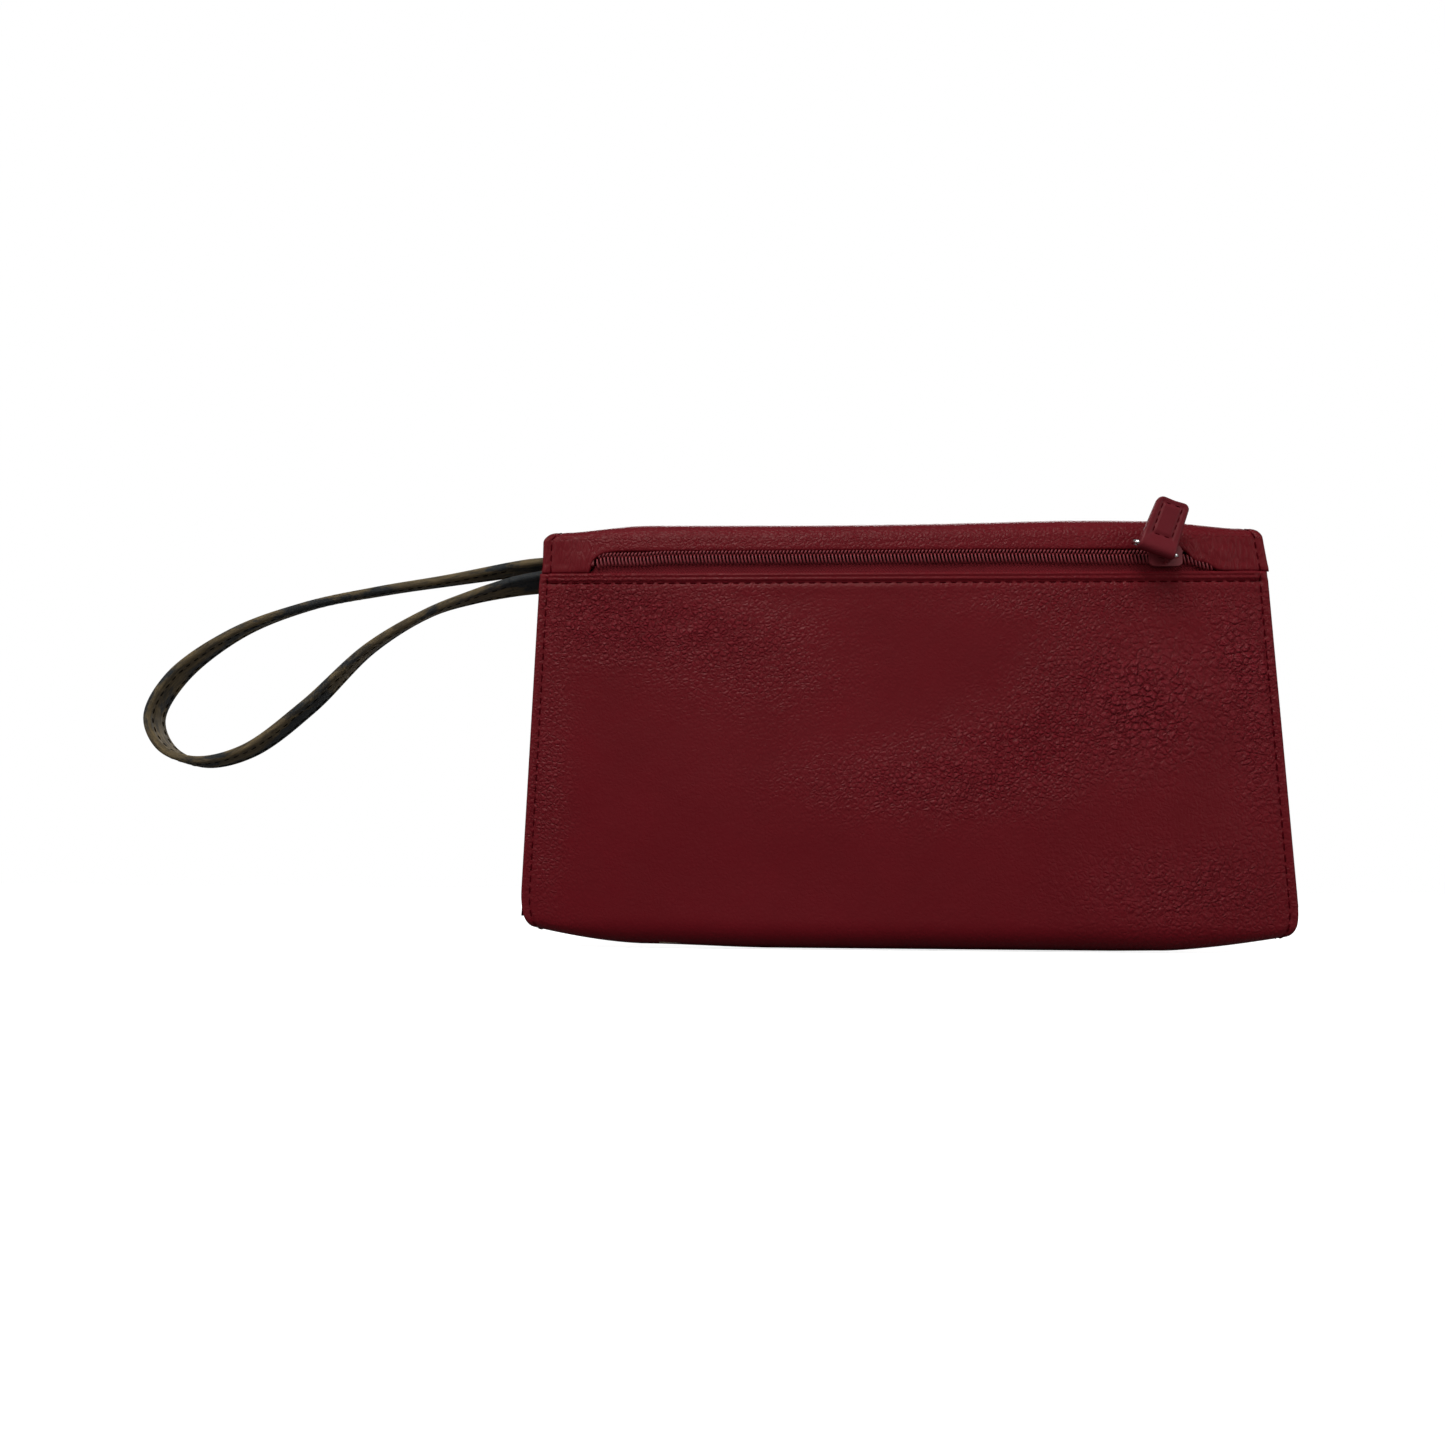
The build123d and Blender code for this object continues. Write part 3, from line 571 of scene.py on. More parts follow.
# Painted shade: the thread is the leather's red, made darker for the shade in the holes and grooves it sits
# in.
SHADED_THREAD_TONES = rgb(0.075, 0.0028, 0.006), rgb(0.04, 0.0014, 0.003)
SHADED_THREAD_RED = cloth("thread", *SHADED_THREAD_TONES, 0.3, use_uv=False, sheen=0.0)
# Painted light: the tape is paler than the leather to make up for the shade under the yoke's edge; above
# 118 mm it also gets a painted shadow.
TAPE_BRIGHTENED_TONES = rgb(0.17, 0.0065, 0.013), rgb(0.09, 0.003, 0.006)
TAPE = cloth("zip_tape", *TAPE_BRIGHTENED_TONES, 0.9, depth=0.15, sheen=0.03, shade_from=118.0)
# Painted light: the coil is paler than the leather to make up for the shade under the yoke's edge.
COIL = hard("zip_coil", rgb(0.155, 0.009, 0.015), rgb(0.21, 0.019, 0.027), 0.5)
ENAMEL = hard("zip_enamel", rgb(0.175, 0.011, 0.017), rgb(0.25, 0.03, 0.04), 0.45)
CHROME = hard("chrome", rgb(0.8, 0.8, 0.8), rgb(0.6, 0.6, 0.6), 0.12, metallic=1.0)
NICKEL = hard("nickel", rgb(0.62, 0.60, 0.57), rgb(0.42, 0.40, 0.37), 0.3, metallic=1.0, brushed=1.0)
FERRITE = hard("ferrite", rgb(0.05, 0.05, 0.05), rgb(0.12, 0.12, 0.12), 0.6)
LINING_TONES = rgb(0.020, 0.016, 0.017), rgb(0.008, 0.006, 0.007)
LINING = cloth("lining", *LINING_TONES, 0.5)
LINING_SOLID = cloth("lining_solid", *LINING_TONES, 0.5, use_uv=False)
BOARD = cloth("board", rgb(0.30, 0.25, 0.18), rgb(0.20, 0.16, 0.11), 1.6, use_uv=False, depth=0.03)
PRINT = print_fabric("strap_print")
STRAP_THREAD_TONES = rgb(0.012, 0.010, 0.008), rgb(0.005, 0.004, 0.003)
STRAP_THREAD = cloth("strap_thread", *STRAP_THREAD_TONES, 0.3, use_uv=False, sheen=0.0)


# Body shell: one sheet from the rear wall's folded top edge, down, round the base and up to the mouth
ROUND = 9.0  # rows of the grid are closer over this height, where the walls turn into the base


def half_width(z):
    """Half width of the body's walls at height z."""
    return between(z, (RIM_Z, HALF_BOTTOM), (FOLD_Z, HALF_TOP))


def wall_half(z, side):
    """Half width of the shell at height z on its left (side < 0) or right; it sits askew to the left."""
    drop = 1 - z / REAR_TOP
    return half_width(z) + np.where(side < 0, 0.65 + 0.9 * drop, -1.5 + 2.05 * drop)


def base_line(x):
    """Height of the shell's lowest line, which lifts towards both ends."""
    left = 0.9 * smooth((-x - 40) / 40) + 4.1 * np.clip((-x - 80) / 32, 0, 1.1) ** 1.6
    right = 0.2 * smooth((x - 60) / 20) + 4.2 * np.clip((x - 78) / 36, 0, 1.1) ** 1.4
    return left + right


DENTS = (  # centre x and z, spread along each, depth; a negative depth stands proud
    (5.0, 73.0, 27.0, 13.0, 0.75),
    (8.0, 49.0, 24.0, 5.0, -0.30),
    (-97.0, 107.0, 13.0, 8.0, 0.55),
    (-72.0, 94.0, 22.0, 6.0, -0.28),
    (78.0, 93.0, 15.0, 9.0, 0.60),
    (72.0, 77.0, 12.0, 6.0, -0.30),
    (101.0, 58.0, 8.0, 15.0, 0.45),
    (-60.0, 45.0, 35.0, 20.0, -0.35),
    (60.0, 28.0, 30.0, 12.0, -0.30),
    (-25.0, 22.0, 40.0, 8.0, 0.25),
)


def rear_relief(x, z):
    """Outward relief of the rear wall from handling."""
    relief = -sum(depth * hill((x - cx) / sx, (z - cz) / sz) for cx, cz, sx, sz, depth in DENTS)
    waves = np.sin(x / 13.0 + z / 21.0) * np.sin(z / 11.0 - x / 37.0) * 0.10
    bend = 2.0 * np.sin(x / 5.0) + 1.5 * np.sin(z / 4.0)
    creases = np.sin((x * 0.8 + z * 0.6 + bend) * 2 * pi / 5.2)
    creases = creases + np.sin((x * 0.3 - z + bend) * 2 * pi / 4.3)
    creased = hill((x - 76) / 10, (z - 82) / 8) + 0.5 * hill((x - 70) / 14, (z - 18) / 7)
    return relief + waves + 0.06 * creases * creased


GRAIN_PATCHES = (  # centre x and z, spread along each, strength of fine creases, strength of coarse ones; the strengths also set the painted crease shade and the painted highlights on the pebbles
    (-72.0, 98.0, 22.0, 8.0, 0.9, 0.35),
    (-95.0, 103.0, 11.0, 8.0, 0.8, 0.2),
    (-45.0, 84.0, 18.0, 9.0, 0.5, 0.0),
    (8.0, 50.0, 26.0, 8.0, 0.8, 0.2),
    (34.0, 62.0, 14.0, 9.0, 0.7, 0.0),
    (52.0, 80.0, 12.0, 14.0, 0.6, 0.0),
    (71.0, 74.0, 13.0, 13.0, 0.5, 1.0),
    (103.0, 88.0, 8.0, 12.0, 0.5, 0.7),
    (106.0, 56.0, 6.0, 14.0, 0.4, 0.4),
    (85.0, 18.0, 24.0, 9.0, 0.5, 0.4),
    (-109.0, 52.0, 5.0, 30.0, 0.5, 0.1),
    (60.0, 106.0, 30.0, 4.0, 0.5, 0.0),
)


def rear_grain(x, z):
    """Strengths of the fine and of the coarse creases on the rear wall, which also set their painted shade
    and the painted highlights on their pebbles.
    """
    fine, coarse = 0.10 + 0 * x, 0 * x
    for cx, cz, sx, sz, few, many in GRAIN_PATCHES:
        near = hill((x - cx) / sx, (z - cz) / sz)
        fine, coarse = fine + few * near, coarse + many * near
    return np.minimum(fine, 1.0), np.minimum(coarse, 1.0)


def seam_relief(edge_distance, along):
    """Groove under a seam with small puckers between its stitches, and the soft lip outside it."""
    groove = -0.34 * hill((edge_distance - STITCH_INSET) / 0.42)
    lip = 0.16 * hill((edge_distance - 1.3) / 0.7) + 0.10 * hill((edge_distance - 4.4) / 1.0)
    pucker = 0.05 * np.sin(2 * pi * along / STITCH_PITCH) * hill((edge_distance - STITCH_INSET) / 1.5)
    return groove + lip + pucker


def welt_relief(x, z):
    """The rolled edge at the rear wall's top, with its stitched groove below."""
    roll = 0.55 * smooth((z - WELT_STITCH_Z - 0.1) / 1.3) * (1 + 0.05 * np.sin(x / 9))
    crease = -0.28 * hill((z - 113.4) / 0.28)
    groove = -0.20 * hill((z - WELT_STITCH_Z) / 0.45)
    shelf = 0.12 * hill((z - 109.9) / 0.9)
    pucker = 0.06 * np.sin(2 * pi * x / STITCH_PITCH) * hill((z - WELT_STITCH_Z) / 1.3)
    return roll + crease + groove + shelf + pucker


def shell(q, s):
    """Body shell: q is minus the distance up the rear wall, or the distance up the front wall."""
    q, s = spread(q, s)
    floor = base_line(s * HALF_BOTTOM)
    top = np.where(q < 0, REAR_TOP, MOUTH_Z)
    z = floor + np.abs(q) / top * (top - floor)
    height = z - floor
    left, right = quarter_round(height, 11.0) * 4.0 / 11.0, quarter_round(height, 9.5) * 3.4 / 9.5
    corner = np.where(s < 0, left, right)
    half = wall_half(z, s) - corner
    x = s * half
    edge = half - np.abs(x)
    crown = 1 - (1 - np.clip((edge - 3.4) / (half - 3.4), 0, 1)) ** 2.4
    inside = smooth((edge - 3.0) / 9.0)
    rear = crowned(z, (RIM_Z, SIDE_Y, REAR_CROWN_Y), (REAR_TOP, FOLD_R, FOLD_R), crown)
    rear = rear + rear_relief(x, z) * inside * smooth((112 - z) / 8)
    rear = rear + welt_relief(x, z) * smooth((edge - 0.8) / 2.4) + seam_relief(edge, z)
    front = crowned(z, *FRONT_WALL, crown) + seam_relief(edge, z)
    front = front + 0.5 * seam_relief(MOUTH_Z - z, x) * smooth((edge - 2) / 2)
    round_height = 4.5 + 4.5 * (1 - smooth((np.abs(x) - 80) / 30))
    share = 1 - np.clip(height / round_height, 0, 1)
    tuck = (1 - share**2.4) ** (1 / 2.4)
    y = np.where(q < 0, -rear, front) * tuck
    weight = smooth((q - 4.0) / 12.0)
    return np.stack([x, y, z], axis=-1), weight


def build_shell():
    """The shell's leather, its side seams, the welt's seam and the mouth's seam."""
    round_rows = ROUND * (1 - np.cos(np.linspace(0, pi / 2, 15)))
    rear_rows = ladder((ROUND, 109.0, 1.25), (109.0, 113.8, 0.28), (113.8, REAR_TOP, 0.12))
    front_rows = ladder((ROUND, 106.0, 2.4), (106.0, 111.6, 0.5), (111.6, MOUTH_Z, 0.16))
    q = np.concatenate([-rear_rows[:0:-1], -round_rows[:0:-1], round_rows, front_rows[1:]])
    s = across(HALF_BOTTOM, 1.15)
    points, weight = shell(q[:, None], s[None, :])
    x, z = points[..., 0], points[..., 2]
    rear = q[:, None] < 0
    thick = np.where(rear, LEATHER + 0.7 * smooth((z - 112) / 1.2), LEATHER)
    piece = sheet("body_shell", points, thick, RED, flat_uv(points, q))
    fine, coarse = rear_grain(x, z)
    set_grain(piece, np.where(rear, fine, 0.3), np.where(rear, coarse, 0.0))
    blend_by(piece, "body", "front", sheet_values(weight))
    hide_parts("rear_panel", "front_panel")

    side = 1 - STITCH_INSET / HALF_BOTTOM
    up = np.linspace(-REAR_TOP + 1.0, MOUTH_Z - 3.5, 500)
    rows = [stitch_line(shell, up, sign * side) for sign in (-1, 1)]
    rows.append(stitch_line(shell, MOUTH_Z - STITCH_INSET, np.linspace(-0.97, 0.97, 500)))
    stitches("shell_seams", rows, SHADED_THREAD_RED, blend=("body", "front"))
    row = stitch_line(shell, -WELT_STITCH_Z, np.linspace(-0.972, 0.972, 500), pitch=3.35)
    stitches("welt_seam", [row], SHADED_THREAD_RED, body="body")


# Yoke and flap: one skin from the yoke's lower edge, over the fold and down to the flap's end

YOKE_Q = 3.6
STOP_X = box_mm("zip_top_stops")[0][0] + 1.0
STOP_RISE = 0.25 - FOLD_R - box_mm("zip_top_stops")[0][1]  # the yoke stands out over the zip's top stops
SKIN_THICK = 1.15
FOLD_PINCH = 2.8  # how far the fold's ends draw in
FOLD_FLAT = 0.36  # share by which the fold is lower there
ARC_Q = pi * 7.0
FLAP_Q = ARC_Q + FOLD_Z - FLAP_END_Z
SKIN_UV_SHIFT = 300.0  # keeps the skin's grain from repeating the shell's


def yoke_edge(x):
    """Height of the yoke's lower edge: above the chain, and down on the welt beyond both its ends."""
    left = 4.6 * np.exp(-np.clip(x + ZIP_HALF, 0, None) / 2.2) + 2.5 * smooth((-ZIP_HALF + 0.5 - x) / 1.0)
    right = 4.4 * smooth((x - 85.0) / 5.0) + 2.8 * smooth((x - 91.0) / 6.0)
    return WINDOW_Z - left - right


def fold_place(q):
    """How far round the fold each row is, from 0 to 1, its way down the flap and its height there."""
    down = np.clip(q - ARC_Q, 0, None)
    return np.clip(q / ARC_Q, 0, 1), down, FOLD_Z - down


def skin_half(q, s):
    """Half width of the skin, which draws in at the fold, and more so at its right end."""
    turn, down, flap_z = fold_place(q)
    pinch = np.where(turn < 0.5, np.sin(pi * turn) ** 1.5, 1 - smooth((down - 4) / 24))
    half = between(flap_z, (FLAP_END_Z, FLAP_HALF_END), (FOLD_Z, HALF_TOP)) - FOLD_PINCH * pinch
    climb = 0.8 + 1.3 * np.clip(1 + q / YOKE_Q, 0, 1)
    half = half - np.where(s > 0, climb * (1 - 0.5 * pinch) * (1 - smooth(down / 24)), 0.0)
    return half - quarter_round(flap_z - FLAP_END_Z, FLAP_CORNER)


def flap_wall(z, s, back):
    """Depth of the flap at height z, that far behind its outer face."""
    low = FLAP_END_Z, FLAP_SIDE_Y - back, FLAP_MID_Y - back
    return crowned(z, low, (FOLD_Z, FLAP_ROOT_Y - back, FLAP_ROOT_Y - back), 1 - np.abs(s) ** 2.2)


def skin(q, s):
    """Yoke, fold and flap as one skin; q is 0 where the fold begins and ARC_Q where it becomes the flap."""
    q, s = spread(q, s)
    turn, down, flap_z = fold_place(q)
    angle = pi * turn
    half = skin_half(q, s)
    x = s * half
    edge = half - np.abs(x)
    flat = smooth((30 - edge) / 30)
    radius = FOLD_R + (FLAP_ROOT_Y - FOLD_R) * smooth((turn - 0.35) / 0.65)
    seam = seam_relief(edge, q)
    fold_radius = radius + seam + 0.10 * np.sin(x / 17.0) * np.sin(angle)
    fold_y = -fold_radius * np.cos(angle)
    fold_z = FOLD_Z + fold_radius * np.sin(angle) * (1 - FOLD_FLAT * flat + 0.15 * hill((x - 60) / 24))
    disc = 0.28 * smooth((9.2 - np.hypot(x, flap_z - SNAP_Z)) / 2.2)
    ripple = 0.22 * np.sin(x / 24.0 + 1.0) * np.sin(flap_z / 19.0) + 0.12 * np.sin(x / 9.0 - flap_z / 15.0)
    end_seam = seam_relief(flap_z - FLAP_END_Z, x) * smooth((edge - 2) / 2)
    flap_y = flap_wall(flap_z, s, 0.0) + disc + ripple * smooth(down / 20) + seam + end_seam
    share = np.clip(-q / YOKE_Q, 0, 1)
    yoke_z = FOLD_Z - share * (FOLD_Z - yoke_edge(x))
    ends = 0.8 * hill((x + 99) / 4, (yoke_z - 118.5) / 3.0) + 0.4 * hill((x - 92) / 5, (yoke_z - 120) / 3.0)
    over_stops = smooth((x - STOP_X + 4) / 2.5) - smooth((x - STOP_X - 2) / 2.5)
    ends = ends + STOP_RISE * over_stops * smooth((123.5 - yoke_z) / 2.5)
    lip = 0.18 * hill((yoke_z - yoke_edge(x) - 1.2) / 0.8)
    yoke_y = -(FOLD_R + 0.85 * ends + lip + seam)
    y = np.where(q < 0, yoke_y, np.where(q <= ARC_Q, fold_y, flap_y))
    z = np.where(q < 0, yoke_z, np.where(q <= ARC_Q, fold_z, flap_z))
    return np.stack([x, y, z], axis=-1), turn


def fold_normals(q, count):
    """Outward normals of the yoke, fold and flap without their relief, for rows q of count points."""
    angle = pi * np.clip(q / ARC_Q, 0, 1)
    row = np.stack([0 * angle, -np.cos(angle), np.sin(angle)], axis=-1)
    return np.repeat(row[:, None, :], count, axis=1)


def build_skin():
    """The skin's leather and the seam that runs round the yoke's ends and the flap."""
    yoke_rows = ladder((-YOKE_Q, -YOKE_Q + 1.2, 0.14), (-YOKE_Q + 1.2, 0, 0.4))
    flap_straight = ladder((ARC_Q, FLAP_Q - FLAP_CORNER, 2.2))
    corner_rows = FLAP_Q - FLAP_CORNER * (1 - np.sin(np.linspace(0, pi / 2, 22)))
    rim_rows = FLAP_Q - np.array([5.0, 4.3, 3.6, 3.1, 2.7, 2.3, 1.9, 1.2, 0.8, 0.4, 0.15, 0.05])
    tail = np.unique(np.round(np.concatenate([corner_rows, rim_rows]), 3))
    tail = tail[np.insert(np.diff(tail) > 0.02, 0, True)]
    q = np.concatenate([yoke_rows, np.linspace(0, ARC_Q, 30)[1:], flap_straight[1:], tail[1:]])
    step_x = ZIP_HALF + np.array([-1.6, -0.8, 0.0, 0.5, 1.0])
    s = np.unique(np.concatenate([across(HALF_TOP, 1.4), -step_x / HALF_TOP]))
    s = s[np.insert(np.diff(s) > 5e-4, 0, True)][::-1]
    points, weight = skin(q[:, None], s[None, :])
    uv, normal = flat_uv(points, q, SKIN_UV_SHIFT), fold_normals(q, len(s))
    piece = sheet("yoke_and_flap", points, SKIN_THICK, RED, uv, normal)
    x = points[..., 0]
    fine = 0.3 + 0.5 * hill((x - 40) / 40, (q[:, None] - 75) / 20)
    set_grain(piece, fine, 0.5 * hill((x + 60) / 20, (q[:, None] - 60) / 20))
    blend_by(piece, "body", "flap", sheet_values(weight))
    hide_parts("back_yoke", "flap_outer")

    side = 1 - STITCH_INSET / HALF_TOP
    up = np.linspace(-YOKE_Q - 2.5, FLAP_Q - FLAP_CORNER, 500)
    rows = [stitch_line(flipped(skin), up, sign * side) for sign in (-1, 1)]
    turn = np.linspace(0, pi / 2, 60)
    corner_q = FLAP_Q - FLAP_CORNER + (FLAP_CORNER - STITCH_INSET) * np.sin(turn)
    for sign in (-1, 1):
        rows.append(stitch_line(flipped(skin), corner_q, sign * side))
    inner = 1 - FLAP_CORNER / FLAP_HALF_END
    rows.append(stitch_line(flipped(skin), FLAP_Q - STITCH_INSET, np.linspace(-inner, inner, 400)))
    stitches("yoke_and_flap_seam", rows, SHADED_THREAD_RED, blend=("body", "flap"))


def flipped(surface):
    """The same surface with s reversed, so that its outward side is the outer one."""
    return lambda q, s: surface(q, -np.asarray(s))


# Flap lining and the inner pieces


def flap_inside(q, s):
    """Inner face of the flap and of the fold; q is 0 at the lining's root on the divider."""
    q, s = spread(q, s)
    turn, _, flap_z = fold_place(q)
    angle = pi * turn
    half = skin_half(q, s) - 1.0
    x = s * half
    flat = smooth((30 - (half - np.abs(x))) / 30)
    radius = ROOT_R + (FLAP_ROOT_Y - LINING_BACK - ROOT_R) * smooth((turn - 0.5) / 0.5)
    y = np.where(q <= ARC_Q, -radius * np.cos(angle), flap_wall(flap_z, s, LINING_BACK))
    z = np.where(q <= ARC_Q, FOLD_Z + radius * np.sin(angle) * (1 - FOLD_FLAT * flat), flap_z)
    return np.stack([x, y, z], axis=-1), turn


def build_flap_lining():
    """Cloth lining of the flap, sewn round its edge, that runs under the fold to the divider."""
    corner = FLAP_Q - FLAP_CORNER * (1 - np.sin(np.linspace(0, pi / 2, 16)))
    straight = ladder((ARC_Q, corner[0], 3.0))
    q = np.concatenate([np.linspace(0, ARC_Q, 24), straight[1:], corner[1:-1], [FLAP_Q - 0.05]])
    s = across(HALF_TOP, 2.2)
    points, weight = flap_inside(q[:, None], s[None, :])
    uv, normal = flat_uv(points, q), -fold_normals(q, len(s))
    piece = sheet("flap_lining_cloth", points, 0.45, LINING, uv, normal)
    blend_by(piece, "body", "flap", sheet_values(weight))
    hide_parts("flap_lining")


def plain_sheet(name, surface, q, s, thick, material, body, node):
    """A sheet from its surface function that rides on one body and takes a node's place."""
    points, _ = surface(q[:, None], s[None, :])
    uv = np.stack([points[..., 0], points[..., 2]], axis=-1)
    piece = sheet(name, points, thick, material, uv)
    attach(piece, body)
    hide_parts(node)


GUSSET_DEPTH = 11.2  # how far each gusset folds in


def build_gussets():
    """Side gussets: a leather sheet folded inwards into a V."""
    low_z, high_z = box_mm("gusset_left")[0][2], box_mm("gusset_left")[1][2]
    for name, side in (("left", -1), ("right", 1)):
        zz, ff = np.meshgrid(np.linspace(low_z, high_z, 46), np.linspace(-1, 1, 33), indexing="ij")
        mouth = between(zz, (low_z, 3.1), (high_z, 4.7))
        bow = 0.35 * np.sin(pi * (zz - low_z) / (high_z - low_z) * 3) * (1 - ff**2)
        reach = GUSSET_DEPTH * (1 - np.sqrt(ff**2 + 0.012)) + bow
        x = side * (wall_half(zz, side) - 0.4 - reach)
        points = np.stack([x, ff * mouth, zz], axis=-1)
        if side > 0:
            points = points[::-1]
        uv = np.stack([ff * 12 + 700, zz], axis=-1)
        piece = sheet("gusset_" + name + "_fold", points, 0.8, RED, uv)
        blend_by(piece, "body", "front", sheet_values((ff + 1) / 2))
        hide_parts("gusset_" + name)


def level_edges(low, high, step):
    """Row heights with closer rows at both rims."""
    rim = np.array([0, 0.08, 0.2, 0.5, 1.0, 1.8])
    return np.concatenate([low + rim, ladder((low + 2.6, high - 2.6, step)), (high - rim)[::-1]])


NOTCH_X, NOTCH_R = 47.0, 7.0  # thumb notches of the card pockets


def build_inner():
    """Divider, stepped card pockets with thumb notches, front lining."""
    low, high = box_mm("divider_wall")
    half = high[0]

    def divider(q, s):
        q, s = spread(q, s)
        hem = 0.16 * smooth((q - (high[2] - 6.0)) / 0.4)
        wave = 0.12 * np.sin(s * 9) * np.sin(q / 17.0)
        return np.stack([-s * half, high[1] + hem + wave, q], axis=-1), 0.0

    q, s = level_edges(low[2], high[2], 3.0), across(half, 3.0)
    plain_sheet("divider_cloth", divider, q, s, 0.7, LINING, "body", "divider_wall")

    for tier in ("upper", "middle", "lower"):
        node = "card_pocket_" + tier
        low, high = box_mm(node)

        def pocket(q, s, low=low, high=high):
            q, s = spread(q, s)
            x = -s * high[0]
            reach = np.clip(1 - ((np.abs(x) - NOTCH_X) / NOTCH_R) ** 2, 0, 1)
            top = high[2] - NOTCH_R * np.sqrt(reach)
            z = low[2] + q * (top - low[2])
            hem = 0.10 * smooth((z - top + 5.0) / 0.4)
            sag = 0.10 * np.sin(x / 14.0) * q
            return np.stack([x, high[1] - 0.05 + hem + sag, z], axis=-1), 0.0

        turn = np.sin(np.linspace(-pi / 2, pi / 2, 25)) * NOTCH_R
        x = np.concatenate([high[0] * across(high[0], 3.0), turn - NOTCH_X, turn + NOTCH_X])
        s = np.unique(np.round(x / high[0], 5))
        s = s[np.insert(np.diff(s) > 2e-4, 0, True)]
        tall = high[2] - low[2]
        q = level_edges(0.0, tall, 3.0) / tall
        plain_sheet(node + "_cloth", pocket, q, s, 0.42, LINING, "body", node)
        row = stitch_line(pocket, 1 - 4.5 / tall, np.linspace(-0.97, 0.97, 400), radius=0.12)
        stitches(node + "_hem", [row], STRAP_THREAD, body="body")

    low, high = box_mm("front_lining")

    def front_cloth(q, s):
        q, s = spread(q, s)
        wave = 0.05 * np.sin(s * 11) * np.sin(q / 13.0)
        y = crowned(q, *FRONT_WALL, 1 - s**2) - 2.25 + wave
        return np.stack([s * (half_width(q) - 14.0), y, q], axis=-1), 0.0

    q, s = level_edges(low[2], high[2], 3.0), across(high[0], 3.0)
    node = "front_lining"
    plain_sheet(node + "_cloth", front_cloth, q, s, 0.35, LINING, "front", node)


# Zip
COIL_PITCH, COIL_SIDES = 1.13, 6


def chain_rise(x):
    """How far the chain's centre line stands above its straight line; it dips at both ends."""
    return (
        0.55 * smooth((x + 82) / 8) * smooth((70 - x) / 40)
        - 3.6 * np.exp(-np.clip(x + ZIP_HALF, 0, None) / 1.3)
        - 2.2 * smooth((x - 85) / 9)
    )


def build_zip():
    """Woven tapes and the two rows of coil turns, hooked into each other."""
    for name, side in (("upper", 1), ("lower", -1)):
        low, high = box_mm("zip_tape_" + name)

        def tape(q, s, low=low, high=high, side=side):
            q, s = spread(q, s)
            x = s * high[0]
            cord = 0.10 * hill((np.abs(q - ZIP_Z) - 2.6) / 0.5)
            wave = 0.10 * np.sin(x / 7.0) * hill((q - 116.5) / 1.5)
            z = q + chain_rise(x) * hill((q - ZIP_Z) / 4)
            return np.stack([x, low[1] - cord + wave, z], axis=-1), 0.0

        rows = level_edges(low[2], high[2], 0.6)[::-1]
        node = "zip_tape_" + name
        plain_sheet(node + "_weave", tape, rows, across(high[0], 1.6), 0.5, TAPE, "body", node)

        node = "zip_coil_" + name
        low, high = box_mm(node)
        count = int((high[0] - low[0]) / COIL_PITCH)
        x0 = low[0] + 0.4 + COIL_PITCH * (np.arange(count) + (0.5 if side > 0 else 0.0))
        if side > 0:
            x0 = x0[x0 < SLIDER_X + 6]
        start, end, depth = (1.0, 2.1, 6.1) if side > 0 else (0.7, -1.9, 6.3)
        t = np.linspace(0, 1, 6)
        front = np.stack([0.5 * t**2, -depth - 0.28 * np.sin(pi * t), start + t * (end - start)], axis=1)
        back_x, back_y = (0.52, 0.4, 0.15, 0.02), (-5.7, -5.42, -5.42, -5.7)
        back = np.stack([back_x, back_y, end + np.array([0.0, 0.35, 0.8, 0.95]) * (start - end)], axis=1)
        path = np.concatenate([front, back])
        rings = tube_rings(path, np.full(len(path), 0.29), COIL_SIDES, True).reshape(-1, 3)
        places = [rings + np.array([x, 0, ZIP_Z + chain_rise(x)]) for x in x0]
        points, faces = copies(tube_faces(len(path), COIL_SIDES, True), places)
        piece = make_piece(node + "_turns", points, faces, COIL)
        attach(piece, "body")
        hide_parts(node)


# Pull tab
TAB_LONG = 15.6
TAB_HALF, TAB_TAPER = 5.6, 0.7  # half width at the wire, and how much narrower the end is
TAB_LOOP = 1.85  # outer radius of the bend round the wire
TAB_TURN = pi * TAB_LOOP
TAB_SEAM = 3.0, 4.1, 14.1  # half width of the sewn rectangle, its start and its end


